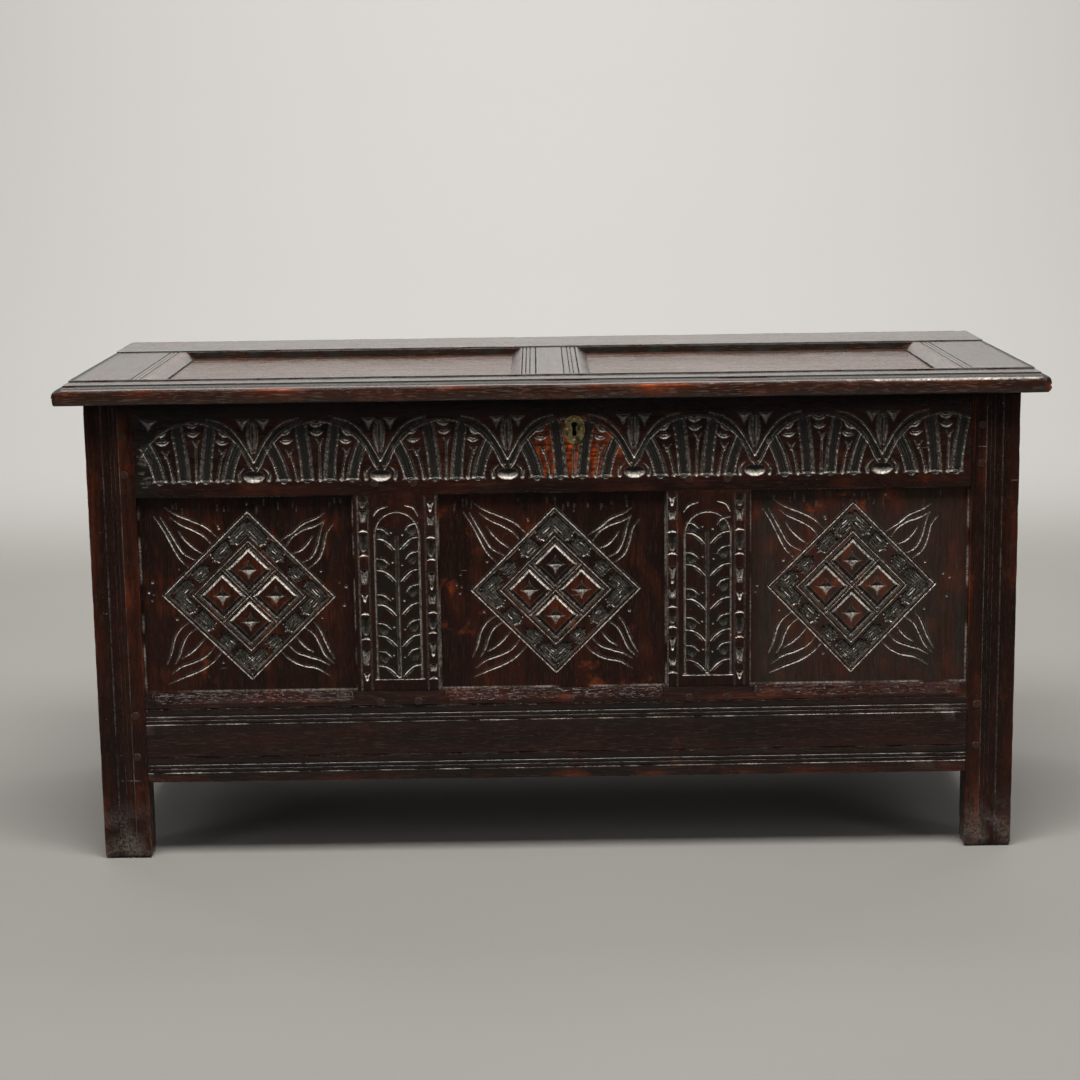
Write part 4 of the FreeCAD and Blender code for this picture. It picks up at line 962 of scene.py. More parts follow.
KEYHOLE = (27.0, 552.0)
KEYHOLE_RADIUS = 4.0
KEYHOLE_SLOT = 2.3
KEYHOLE_FOOT = 538.0


def in_keyhole(x, z, grow=0.0):
    """Inside the keyhole: a round with a slot below it that widens a little towards its foot."""
    round_part = np.hypot(x - KEYHOLE[0], z - KEYHOLE[1]) <= KEYHOLE_RADIUS + grow
    half = KEYHOLE_SLOT + grow + 0.6 * unit((KEYHOLE[1] - 6 - z) / 8)
    return round_part | ((np.abs(x - KEYHOLE[0]) <= half) & (z < KEYHOLE[1]) & (z > KEYHOLE_FOOT - grow))


def keyhole_cut(x, z):
    return np.where(in_keyhole(x, z, 0.4), 8.9, 0.0)


def rail_wear(x, z):
    """The rail is rubbed to orange round the lock, where hands have opened the lid."""
    bright = np.clip(1.25 - ((x - 34) / 60) ** 2 - ((z - 518) / 46) ** 2, 0, 0.9)
    streaky = patchy(x * 1.5, z * 0.4, 91, 12.0, gain=0.6, low=0.08)
    streaky = streaky * patchy(x, z * 0.6, 104, 5.0, 0.8, 0.7, low=0.25)
    elsewhere = 0.05 * patchy(x, z * 2, 92, 120.0, -0.2)
    return np.maximum(bright * streaky * (z > 486.5), elsewhere)


def rail_shadow_and_dirt(x, z):
    """Painted shadow: the rail is black under the lid's overhang, more towards the left. Black dirt lies
    in the left end where no arch is cut.
    """
    lid_shadow = np.clip(0.6 - 0.4 * x / STILE_INNER, 0.3, 0.7) * unit((z - 562) / 6)
    end = 0.7 * unit((-492 - x) / 6)
    return np.maximum(lid_shadow, end) * patchy(x, z, 93, 60.0, 0.8, 0.4)


RAIL_STEP = 0.98
LOCK_NOTCH = (-18.0, 72.0, 519.0, PANEL_FACE)
CARVED = (-511, 517)
VALLEYS = (-371.0, -214.0, -56.0, 101.0, 251.0, 409.0)
ARCH_CENTRES = (-446.0, -292.5, -135.0, 22.5, 176.0, 330.0, 487.5)


def top_rail(material):
    dice = np.random.default_rng(11)
    across = graded(-STILE_INNER, STILE_INNER, -STILE_INNER + 1, STILE_INNER - 1, 1.05)
    for edge in LOCK_NOTCH[:2]:
        across[np.abs(across - edge).argmin()] = edge
    relief = Relief(across, graded(PANEL_HIGH, BODY_TOP, 479.0, 569.0, RAIL_STEP, 7.0), RAIL_STEP)
    for centre in ARCH_CENTRES:
        lunette(relief, centre, *CARVED, dice)
    for middle in VALLEYS:
        spandrel(relief, middle, dice)
    facet(relief, [(-512, 567), (-489, 564), (-500.5, 551)], (-500, 561), 2.2, 0.17)
    for _ in range(22):
        x, z = dice.uniform(-516, -506), dice.uniform(480, 530)
        groove(relief, [(x, z), (x + dice.uniform(5, 12), z + dice.uniform(-0.6, 0.6))], 1.6, [0.1, 0.5, 0.1],
               pale=0.6)
    relief.add((21, 536), (33, 558), keyhole_cut, pale=0.0)
    relief_piece("front_top_rail_carved", relief, FACE, FRAME_BACK, material, 3, notch=LOCK_NOTCH,
                 rub=rail_wear, shadow_and_dirt=rail_shadow_and_dirt)


# ---- The panels' lozenges ----

MARKS = ((0.075, 0.255), (0.325, 0.455), (0.70, 0.61), (0.925, 0.785))
LANES = (-6.6, -3.3, 0.0, 3.3, 6.6)
BORDER_INSET = 13.4
PANEL_STEP = 0.92
CELL = 0.31


def border_mark(relief, first, last, inward, dice):
    """A dark bed with gouge streaks along it, ended by two hollow scallops that meet in a point; the streaks
    and scallops are painted pale as highlights, one streak brightest.
    """
    run = last - first
    onward = run / np.hypot(*run)
    for lane in LANES:
        beside = inward * lane
        tip = last + beside + onward * (5.5 - 0.8 * abs(lane))
        heel = first + beside + run * dice.uniform(-0.08, 0.10)
        groove(relief, curve([heel, tip]), 4.6, [1.3, 1.7, 1.9], flat=0.7, pale=0.0)
    # painted highlight: one streak in each mark is the brightest
    brightest = dice.integers(1, len(LANES) - 1)
    for index, lane in enumerate(LANES):
        beside = inward * (lane + dice.uniform(-0.8, 0.8))
        low, high = dice.uniform(0.0, 0.35), dice.uniform(0.65, 0.95)
        wide, pale = (3.8, 2.6) if index == brightest else (2.2, dice.uniform(0.2, 1.5))
        groove(relief, curve([first + run * low + beside, first + run * high + beside]),
               [1.0, wide, wide * 0.8], [1.6, 3.0, 2.4], pale=pale)
    point = last + onward * 7.5
    for lane in (-8.4, 8.4):
        horn = last + inward * lane + onward * 2.5
        chord = point - horn
        way = -np.sign(chord[0] * onward[1] - chord[1] * onward[0])
        stab(relief, horn, point, 5.6 * way, 2.2 * way, 2.6, pale=1.3)


def lozenge_cell(relief, at, cx, cz, bevel_highlight, dice):
    """One of the four cells in a lozenge: upper bevels painted pale as highlights, dark lower ones with
    dots, and a star.
    """
    reach = CELL - 0.055
    tip, low_tip = at(cx, cz + reach), at(cx, cz - reach)
    for side, light in ((-1, 1.15), (1, 1.9)):
        end, low_end = (at(cx + side * (reach - 0.01), cz + rise) for rise in (0.012, -0.012))
        # painted highlight: the upper bevels face the light and are made pale, the right one most
        groove(relief, curve([tip, end][::side]), [4.8, 5.2, 4.8], 2.9, lean=-0.42,
               pale=bevel_highlight * light * dice.uniform(0.85, 1.1))
        groove(relief, curve([low_tip, low_end][::side]), [5.6, 6.4, 5.6], 1.6, lean=0.42, pale=0.09)
        for share in (0.28, 0.66):
            dot(relief, low_end + (low_tip - low_end) * (share + dice.uniform(-0.1, 0.1)), 1.3, 3.2)
    star(relief, at(cx, cz) + (dice.uniform(-0.6, 0.6), -0.8), (12.9, 12.4), 1.7, pale=1.5)


def lozenge_panel(name, opening, corners, strokes, seed, material, sparks=(), bevel_highlight=1.0):
    """A panel with a lozenge. corners are its top, right, bottom and left points; strokes are the corner
    sprays; the last argument says how bright the painted highlights on the upper bevels of its four cells
    are."""
    dice = np.random.default_rng(seed)
    low, high = opening
    across, up = (graded(start - TONGUE, end + TONGUE, start + 1, end - 1, PANEL_STEP, 5.0)
                  for start, end in (opening, (PANEL_LOW, PANEL_HIGH)))
    relief = Relief(across, up, PANEL_STEP)
    top, right, bottom, left = (np.array(corner, float) for corner in corners)
    centre = (top + right + bottom + left) / 4

    def at(across_share, up_share):
        """A place in the lozenge: 1, 0 is its right corner and 0, 1 its top one."""
        sideways = (right - centre) if across_share >= 0 else (centre - left)
        upward = (top - centre) if up_share >= 0 else (centre - bottom)
        return centre + sideways * across_share + upward * up_share

    def ring(size, width, depth, pale):
        around = [at(0, size), at(size, 0), at(0, -size), at(-size, 0), at(0, size)]
        for start, end in zip(around[:-1], around[1:]):
            groove(relief, curve([start, end]), width, depth, pale=pale)

    ring(1.0, 3.1, 2.1, 0.9)
    ring(0.948, 1.5, 0.9, 0.6)
    ring(0.655, 2.6, 2.0, 0.75)
    ring(0.60, 1.3, 0.7, 0.4)
    for side in (-1, 1):
        groove(relief, curve([at(-CELL * side, CELL), at(CELL * side, -CELL)]), 2.3, 1.9, pale=0.7)
    for cx, cz in ((0, CELL), (-CELL, 0), (CELL, 0), (0, -CELL)):
        lozenge_cell(relief, at, cx, cz, bevel_highlight, dice)
    for start, end in ((top, left), (top, right), (left, bottom), (right, bottom)):
        inward = centre - (start + end) / 2
        inward /= np.hypot(*inward)
        for mark in MARKS:
            first, last = (start + (end - start) * (share + dice.uniform(-0.01, 0.01)) + inward * BORDER_INSET
                           for share in mark)
            border_mark(relief, first, last, inward, dice)
    for path in strokes:
        groove(relief, curve(path), [1.2, 3.3, 3.4, 1.0], [0.5, 1.9, 1.9, 0.4])
    for spark in sparks:
        dot(relief, spark, dice.uniform(1.0, 1.9), 0.9)
    for _ in range(16):
        x, z = dice.uniform(low + 16, high - 14), dice.uniform(PANEL_HIGH - 18, PANEL_HIGH - 4)
        groove(relief, [(x, z), (x + dice.uniform(-0.5, 0.5), z - dice.uniform(4, 11))], 1.3, [0.1, 0.4, 0.1],
               pale=0.5)

    def worn(x, z):
        """Rubbed in a few places, and a little on the floors of the four cells."""
        size = np.hypot(*(right - left)) / 2
        cells = np.abs(x - centre[0]) + np.abs(z - centre[1]) < 0.6 * size
        return (0.08 + 0.02 * cells) * unit(slow_noise(x, z * 0.5, seed + 40, 30.0) - 0.25 + 0.5 * cells)

    relief_piece(name, relief, PANEL_FACE, PANEL_BACK, material, seed, margin=TONGUE, wave=0.5, rub=worn)


LEFT_STROKES = (
    [(-486, 454), (-476, 447), (-455, 438), (-436, 429), (-420, 414)],
    [(-479, 441), (-468, 433), (-451, 425), (-438, 417), (-427, 404)],
    [(-470, 424), (-463, 414), (-452, 403), (-440, 394)],
    [(-492, 442), (-483, 427), (-473, 409), (-465, 396), (-449, 386)],
    [(-500, 443), (-489, 427), (-477, 403), (-469, 388), (-457, 376)],
    [(-286, 445), (-293, 440), (-314, 431), (-326, 421), (-342, 410)],
    [(-286, 435), (-297, 429), (-317, 422), (-328, 414), (-336, 402)],
    [(-302, 415), (-308, 407), (-317, 398), (-328, 393)],
    [(-287, 435), (-292, 422), (-297, 403), (-305, 388), (-318, 381)],
    [(-276, 430), (-285, 418), (-289, 402), (-296, 385), (-309, 374)],
    [(-461, 307), (-473, 298), (-480, 287), (-485, 268), (-491, 253)],
    [(-452, 299), (-464, 290), (-471, 277), (-475, 264), (-481, 253)],
    [(-442, 286), (-450, 277), (-460, 268), (-472, 260)],
    [(-430, 276), (-440, 264), (-455, 256), (-474, 249), (-487, 239)],
    [(-421, 268), (-433, 255), (-448, 245), (-470, 236), (-490, 227)],
    [(-304, 305), (-297, 296), (-290, 280), (-284, 266), (-279, 257)],
    [(-317, 299), (-304, 289), (-297, 276), (-290, 261), (-280, 251)],
    [(-326, 285), (-319, 277), (-313, 271), (-305, 266)],
    [(-337, 276), (-328, 267), (-313, 261), (-298, 256), (-286, 249)],
    [(-346, 267), (-337, 258), (-322, 250), (-301, 245), (-286, 235)],
)


def moved(strokes, from_centre, to_centre, scale=(1.0, 1.0)):
    """Paths laid round another centre, and scaled."""
    (from_x, from_z), (to_x, to_z) = from_centre, to_centre
    return [[(to_x + (x - from_x) * scale[0], to_z + (z - from_z) * scale[1]) for x, z in path]
            for path in strokes]


LEFT_SPARKS = ((-505, 359), (-510, 346), (-504, 343), (-506, 335), (-420, 430), (-419, 427), (-471, 375),
               (-476, 311), (-293, 310), (-293, 370), (-270, 355), (-262, 350), (-265, 326), (-420, 254),
               (-383, 457), (-344, 457))


def panels(material, haze_and_sheen):
    left_centre = (-384.0, 341.0)
    lozenge_panel("front_left_panel_carved", (-520.0, -250.0),
                  ((-383, 448), (-277, 338), (-384, 233), (-492, 342)), LEFT_STROKES, 21, material,
                  LEFT_SPARKS)
    middle = moved(LEFT_STROKES, left_centre, (1.0, 343.0), (0.985, 0.985))
    sparks = moved([LEFT_SPARKS], left_centre, (3.0, 345.0))[0][:9]
    lozenge_panel("front_middle_panel_carved", (-146.0, 141.0),
                  ((1, 448), (107, 343), (1, 236), (-104, 343)), middle, 22, material, sparks, bevel_highlight=0.8)
    right = moved(LEFT_STROKES, left_centre, (375.0, 343.0), (0.985, 0.985))
    sparks = moved([LEFT_SPARKS], left_centre, (375.0, 342.0))[0][2:]
    # the right panel takes the lighter oak with painted sheen, and dimmer painted bevel highlights
    lozenge_panel("front_right_panel_carved", (245.0, 520.0),
                  ((375, 449), (479, 343), (374, 232), (269, 343)), right, 23, haze_and_sheen, sparks, bevel_highlight=0.45)


# ---- The muntins ----

MUNTIN_STEP = 0.66
LEAF_BASE = 231.5
# The levels of a muntin's leaves: big and small ones on the left of the stem, then on its right.
LEAVES = ((412, 372, 328, 288, 249), (425, 387, 341, 304, 268),
          (414, 373, 330, 289, 250), (432, 396, 354, 309, 272))

# What is cut down each edge of a muntin, with its top and bottom level.
OUTER_BAND = (("bed", 466, 452), ("block", 448, 433), ("crescent", 424, 420), ("bed", 418, 396),
              ("crescent", 393, 389), ("block", 373, 354), ("drop", 342, 330), ("crescent", 318, 314),
              ("bed", 311, 289), ("crescent", 286, 282), ("block", 270, 250), ("drop", 240, 228))
INNER_BAND = (("drop", 458, 444), ("block", 440, 428), ("crescent", 415, 411), ("bed", 408, 389),
              ("crescent", 387, 383), ("tooth", 368, 345), ("block", 340, 328), ("crescent", 319, 315),
              ("bed", 312, 296), ("crescent", 293, 289), ("tooth", 278, 259), ("block", 251, 241),
              ("crescent", 234, 230))


def side_band(relief, middle, cuts, lift, dice):
    """A strip of hollows down one edge of a muntin; their crescents, drops and dots are painted pale as
    highlights.
    """
    for kind, top, bottom in cuts:
        top, bottom = top + lift, bottom + lift
        if kind == "crescent":
            stab(relief, (middle - 6.2, bottom), (middle + 6.2, bottom), 1.0, 4.6, 2.5, pale=1.25)
        elif kind == "bed":
            groove(relief, curve([(middle, top - 3), (middle, bottom + 3)]), [7, 10, 8], [1.6, 2.2, 1.8],
                   flat=0.4, pale=0.15)
        elif kind == "block":
            rim = [(middle - 5, top), (middle + 5, top), (middle + 3.6, bottom), (middle - 3.6, bottom)]
            facet(relief, rim, (middle, top - 3), 2.8, pale=0.7)
            for lane in (-2.6, 0.0, 2.6):
                streak = [(middle + lane + dice.uniform(-0.4, 0.4), top - 4),
                          (middle + lane * 0.7, bottom + 1)]
                groove(relief, curve(streak), [0.8, 1.7, 0.8], [3.0, 2.4, 1.0], pale=dice.uniform(0.4, 1.6))
        else:
            facet(relief, [(middle - 4.8, top), (middle + 4.8, top), (middle, bottom)], (middle, top - 4),
                  2.9, pale=1.3 if kind == "drop" else 0.55)
            # painted highlight: a bright dot at the foot
            bowl(relief, (middle, bottom + 4.5), (1.9, 3.2), 2.4, 0.7, pale=1.9)


def hatch(relief, centre, lean):
    """Three short strokes side by side, as a ground tool leaves."""
    centre = np.array(centre)
    along = np.array([0.62 * lean, -0.78])
    for lane in (-2.3, 0.0, 2.3):
        middle = centre + (lane * 0.9, lane * 0.6 * lean)
        groove(relief, curve([middle - along * 2.3, middle + along * 2.3]), [0.8, 1.4, 0.8], [1.1, 1.6, 1.1],
               pale=0.5)


def leaf(relief, points, widths, depths):
    """A drop-shaped cut; gives back its middle line."""
    line = curve(points)
    groove(relief, line, widths, depths, lean=0.25, pale=0.95)
    return line


def scoop(relief, points):
    """A broad dark hollow under a small leaf."""
    groove(relief, curve(points), [8, 11, 7], 0.9, flat=0.3, pale=0.07)


def muntin(name, edges, arch, bands, stem, leaves, seed, material):
    """A muntin with leaves on a stem under an arch, between two bands of hollows. arch is the arch's left and
    right side, springing and crown."""
    dice = np.random.default_rng(seed)
    low, high = edges
    across = graded(low, high, low + 0.6, high - 0.6, MUNTIN_STEP, 0.6)
    up = graded(PANEL_LOW, PANEL_HIGH, PANEL_LOW + 3, PANEL_HIGH - 4, MUNTIN_STEP, 3.0)
    relief = Relief(across, up, MUNTIN_STEP)
    left, right, springing, crown = arch
    base = LEAF_BASE
    centre = (left + right) / 2
    half = (right - left) / 2
    outline = [(left, base), (left, springing)]
    outline += [(centre - half * math.cos(a), springing + (crown - springing) * math.sin(a))
                for a in np.linspace(0.25, math.pi - 0.25, 12)]
    outline += [(right, springing), (right, base)]
    groove(relief, np.array(outline), 2.4, 1.7)
    groove(relief, curve([(left - 3, base), (right + 3, base)]), 2.0, 1.4)
    for x in (left, stem, right):
        facet(relief, [(x - 2.8, base), (x + 2.8, base), (x, base + 9)], (x, base + 3.5), 1.9, 0.06)
    for side in (-1, 1):
        groove(relief, curve([(stem + side * 1.7, 415), (stem + side * 1.4, base + 2)]), [1.2, 1.8, 1.8],
               [0.7, 1.3, 1.4])
    big_left, small_left, big_right, small_right = leaves
    for level in big_left:
        line = leaf(relief,
                    [(left + 2, level), (left + 9, level - 0.6), (stem - 8, level - 7),
                     (stem - 2.5, level - 14)],
                    [2.2, 3.8, 4.4, 2.0], [1.2, 2.3, 2.6, 1.0])
        groove(relief, line[10:-3] - (1.4, 3.2), [0.8, 1.7, 0.8], [0.4, 1.1, 0.5])
    for level in small_left:
        leaf(relief, [(left + 2, level), (left + 10, level - 0.8), (left + 18, level - 8)],
             [1.8, 3.8, 1.4], [1.0, 2.2, 0.8])
        scoop(relief, [(left + 6, level - 6), (left + 9, level - 9), (left + 10, level - 13)])
        hatch(relief, (left + 10 + dice.uniform(-1, 1), level - 11.5), 1)
        dot(relief, (stem - 6 + dice.uniform(-1, 1), level - 5), 1.3, 0.8)
        dot(relief, (stem + 7 + dice.uniform(-1, 1), level - 8), 1.3, 0.8)
    for level in big_right:
        line = leaf(relief,
                    [(stem + 4.5, level - 15), (stem + 11, level - 7), (right - 9, level - 1.2),
                     (right - 1, level)],
                    [2.0, 4.4, 3.8, 2.2], [1.0, 2.6, 2.3, 1.2])
        groove(relief, line[3:-10] + (1.4, -3.2), [0.8, 1.7, 0.8], [0.5, 1.1, 0.4])
    for level in small_right:
        leaf(relief, [(right - 17, level - 10), (right - 13, level - 3.5), (right - 1, level)],
             [1.4, 3.8, 1.8], [0.8, 2.2, 1.0])
        scoop(relief, [(right - 6, level - 7), (right - 9, level - 10), (right - 10, level - 14)])
        hatch(relief, (right - 8 + dice.uniform(-1, 1), level - 13), -1)
    groove(relief, curve([(left - 1, 441), (left + 5, 449), (left + 17, 453)]), [1.4, 3.8, 1.4],
           [0.6, 2.3, 0.6])
    groove(relief, curve([(right - 17, 454), (right - 6, 451), (right - 1, 441)]), [1.4, 3.8, 1.4],
           [0.6, 2.3, 0.6])
    for (inner, outer), cuts, lift in bands:
        for x in (inner, outer):
            groove(relief, curve([(x, PANEL_HIGH - 1), (x, PANEL_LOW + 1)]), 1.6, 1.0, pale=0.7)
        side_band(relief, (inner + outer) / 2, cuts, lift, dice)

    def ground(x, z):
        """The ground between the leaves is black, but for a few rubbed places."""
        within = (np.abs(x - centre) < half) & (z > base) & (z < springing + 8)
        return 0.75 * within * patchy(x, z, seed + 70, 22.0, 0.65, 0.9)

    relief_piece(name, relief, FACE, FRAME_BACK, material, seed, wave=0.25, soft=1.4, shadow_and_dirt=ground)


def muntins(material):
    muntin("front_left_muntin_carved", LEFT_MUNTIN, (-224.0, -168.5, 417.0, 446.0),
           (((-244.5, -231.5), OUTER_BAND, 0.0), ((-160.5, -147.0), INNER_BAND, 0.0)),
           -196.5, LEAVES, 31, material)
    lifted = [[level + 2 for level in levels] for levels in LEAVES]
    muntin("front_right_muntin_carved", RIGHT_MUNTIN, (163.5, 221.0, 413.0, 441.0),
           (((141.8, 154.0), INNER_BAND, 3.0), ((226.0, 238.5), OUTER_BAND, -4.0)),
           191.5, lifted, 32, material)


# ---- The escutcheon ----


RIM_POINTS = 64


def escutcheon(material):
    """A thin domed oval of brass with the keyhole through it."""
    low, high = (np.array(corner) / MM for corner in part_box("escutcheon"))
    middle, level = (low[0] + high[0]) / 2, (low[2] + high[2]) / 2
    back, front = high[1], low[1]
    turn = np.arange(RIM_POINTS) * math.tau / RIM_POINTS
    circle = np.column_stack([np.cos(turn), np.sin(turn)])
    rim = circle * ((high[0] - low[0]) / 2, (high[2] - low[2]) / 2)
    origin = (KEYHOLE[0], KEYHOLE[1] - 3.5)
    reach = np.linspace(0, 18, 361)
    hole = []
    for across, up in circle:
        inside = in_keyhole(origin[0] + reach * across, origin[1] + reach * up)
        hole.append(reach[np.argmin(inside)] * np.array([across, up]))
    hole = np.array(hole) + (origin[0] - middle, origin[1] - level)
    loops = [(rim, back), (rim, front + 0.75), (rim * 0.97, front + 0.45), (rim * 0.86, front + 0.35),
             (rim * 0.45 + hole * 0.55, front + 0.05), (hole * 0.93 + rim * 0.07, front),
             (hole, front + 0.3), (hole, back)]
    points = np.vstack([np.column_stack([middle + loop[:, 0], np.full(RIM_POINTS, y), level + loop[:, 1]])
                        for loop, y in loops])
    faces = []
    for ring in range(len(loops)):
        faces += between_loops(ring * RIM_POINTS, (ring + 1) % len(loops) * RIM_POINTS, RIM_POINTS)
    make_object("escutcheon_domed", points, faces, "carcass", material)


# ---- Mouldings and plain boards ----


def stile_wear(points, side):
    """The posts are rubbed along the inner arris of their feet, and here and there along their reeds."""
    x, y, z = points.T
    arris = (side * x < STILE_INNER + 4) & (y < FACE + 8)
    foot = 0.15 * arris * unit(1 - z / 110) * patchy(z, x, 98, 40.0)
    front = y < FACE + 3
    lines = (np.abs(side * x - 538.0) < 0.9) | (np.abs(side * x - 523.6) < 0.9)
    line = 0.14 * lines * front * patchy(z, x * 3, 99, 90.0, 0.0)
    ground = 0.022 * front * (side * x < 538) * patchy(z, x, 100, 160.0)
    return np.maximum(np.maximum(foot, line), ground)


def foot_dust(points):
    """The feet are scuffed and grey near the floor."""
    x, _, z = points.T
    return 0.2 * unit(1 - z / 80) * patchy(z, x, 103, 22.0, 0.6)


def front_stile(side, word, material):
    """A front post. Its front face is reeded from 20 mm inside its outer edge."""
    outer, inner = side * STILE_OUTER, side * STILE_INNER

    def put(across, depth):
        return (across, FACE + depth)

    section = [(outer, STILE_BACK, 1.4), (outer, FACE, 2.2)]
    section += reeds(side * (STILE_OUTER - 20), -side, put, depth=1.0, pale=0.22)
    section += [(side * across, FACE, 0.0) for across in (524.6, 523.6, 522.6)]
    section += [(inner, FACE, 1.4), (inner, STILE_BACK, 1.4)]
    planed(f"front_{word}_stile_reeded", "z", section, (0.0, BODY_TOP), "carcass", material, 50 + side,
           nick=1.1, ends=(7.0, 1.0), rub=lambda points: stile_wear(points, side), edge_wear=0.15,
           shading_and_dust=foot_dust)


RAIL_LOW = 100.0
RAIL_REEDS = (197.0, 133.5)
RAIL_CLIMB = 2.6
CHAMFER_HEIGHT = 13.0
CHAMFER_DEPTH = 6.0
CHAMFER_STOP = 9.0
CHAMFERS = ((-512.0, -255.0), (-141.0, 136.0), (250.0, 512.0))


def rail_climb(x):
    """The bottom rail's mouldings climb a little from left to right."""
    return RAIL_CLIMB * (x + STILE_INNER) / (2 * STILE_INNER)


def chamfer_share(x):
    """How much of a stopped chamfer is cut at each place along it: its ends run out in a curl."""
    share = np.zeros_like(x)
    for low, high in CHAMFERS:
        inside = unit(np.minimum(x - low, high - x) / CHAMFER_STOP)
        share = np.maximum(share, np.sqrt(unit(1 - (1 - inside) ** 2)))
    return share


def bottom_rail(material):
    def put(up, depth):
        return (FACE + depth, up)

    section = [(FRAME_BACK, RAIL_LOW, 1.2), (FRAME_BACK, PANEL_LOW, 1.2), (FACE, PANEL_LOW, 0.0),
               (FACE, 209.5, 0.0), (FACE, PANEL_LOW - CHAMFER_HEIGHT, 0.0)]
    for start in RAIL_REEDS:
        section += reeds(start, -1, put, pale=0.9)
    section.append((FACE, RAIL_LOW, 1.6))
    stations = [x + step for stop in CHAMFERS for x, way in zip(stop, (1, -1))
                for step in (0, way * 0.5, way * 1.5, way * 3, way * 5, way * CHAMFER_STOP)]

    def shape(points):
        share = chamfer_share(points[:, 0])
        rise = unit((points[:, 2] - (PANEL_LOW - CHAMFER_HEIGHT)) / CHAMFER_HEIGHT)
        limit = FACE + CHAMFER_DEPTH * share * rise
        points[:, 1] = np.maximum(points[:, 1], limit)
        moulded = (points[:, 2] > 110) & (points[:, 2] < 199) & (points[:, 1] < FACE + 3)
        points[:, 2] += np.where(moulded, rail_climb(points[:, 0]), 0.0)
        return points

    planed("front_bottom_rail_moulded", "x", section, (-STILE_INNER, STILE_INNER), "carcass", material, 60,
           stations=stations, shape=shape, ends=(0.4, 0.4), rub=bottom_rail_wear, shading_and_dust=bottom_rail_shading)


def bottom_rail_shading(points):
    """The reeded bands are darker, least in their first quirk, and the narrow reeds carry a painted highlight
    towards the rail's ends.
    """
    x, y, z = points.T
    level = z - rail_climb(x)
    near_end = unit((x - 100) / 380) + unit((-x - 400) / 100)
    shading_and_dust = np.zeros_like(x)
    for start in RAIL_REEDS:
        reeded = (level < start) & (level > start - 23) & (y < FACE + 3)
        narrow = reeded & (level < start - 11)
        first_quirk = reeded & (level > start - 3)
        # painted highlight on the narrow reeds near the rail's ends
        shading_and_dust += np.where(narrow, 0.55 * near_end * patchy(x, level * 4, 94, 30.0, 0.6, 0.6), 0.0)
        shading_and_dust -= np.where(first_quirk, 0.3, np.where(reeded, 0.45, 0.0))
    return shading_and_dust


def bottom_rail_wear(points):
    """Feet and brooms have rubbed the chamfers and the strip below them."""
    x, _, z = points.T
    band = np.exp(-(((z - 201.5) / 3.5) ** 2)) * patchy(x, z * 2, 96, 110.0, 0.25, 0.6)
    slope = 0.04 * ((z > 204) & (x > -380)) * patchy(x, z * 3, 97, 80.0, 0.0)
    return np.maximum(0.10 * band, slope)


# ---- The lid ----

LID_HALF = 615.0
LID_FRONT = -265.0
LID_BACK = 265.0
FRONT_JOINT = -201.0
BACK_JOINT = 128.0
STILE_JOINT = 492.0
MUNTIN_EDGES = (-52.0, 50.0)
LID_FLOOR = 601.5
LAND_TOP = 602.5
LID_GROOVE_FLOOR = 596.0
LID_PANEL_LOW = 589.5
END_ROUND = ((0.0, 596.0), (0.5, 598.6), (1.6, 601.3), (3.4, 603.9), (5.4, 605.7), (7.4, 606.8), (9.4, 607.6),
             (11.2, 607.4), (12.0, 607.4), (12.4, 612.0))
END_FOOT = ((6.0, 587.0), (3.6, 587.7), (1.7, 589.2), (0.5, 591.2), (0.0, 593.6))
NOSING = ((20.0, 610.4), (20.0, 608.9), (15.0, 608.6), (10.0, 607.9), (6.0, 607.0), (4.0, 606.4),
          (2.5, 605.8), (1.2, 604.9), (0.4, 603.4), (0.0, 601.6), (0.0, 589.6), (0.5, 588.2), (1.8, 587.0))
# Steps on the two rails beside their joints: across from the joint, below the lid's top, and how black, with
# dirt and with painted shade in the quirks.
FRONT_STEPS = ((0.0, 1.2, DEEP_DIRT_AND_SHADE), (-0.5, 0.1, 0.0), (-5.4, 0.0, 0.0), (-5.5, 0.3, DEEP_DIRT_AND_SHADE),
               (-5.9, 2.2, DEEP_DIRT_AND_SHADE), (-7.6, 2.2, DEEP_DIRT_AND_SHADE), (-8.0, 1.6, 0.0))
BACK_STEPS = ((6.8, 0.0, 0.0), (6.6, 0.3, DEEP_DIRT_AND_SHADE), (6.4, 2.6, DEEP_DIRT_AND_SHADE), (4.6, 2.6, DEEP_DIRT_AND_SHADE),
              (4.2, 1.6, 0.0), (0.8, 1.7, 0.0), (0.0, 2.4, 1.0))
CORNERS = ((-1, 9.0), (1, 16.0))
LID_STILE_REEDS = LID_HALF - 88.0
UPRIGHT_REED_DEPTH = 2.2
LID_PEGS = (-556.75, -520.25, -21.5, 19.5, 520.25, 556.75)
LID_PEG_INSET = 14.0
LID_PEG_RADIUS = 3.9
LID_PEG_SIDES = 16
LID_RUBS = ((-338.0, 26.0, 0.45), (-120.0, 30.0, 0.2), (130.0, 34.0, 0.8), (60.0, 20.0, 0.3),
            (-505.0, 18.0, 0.2))


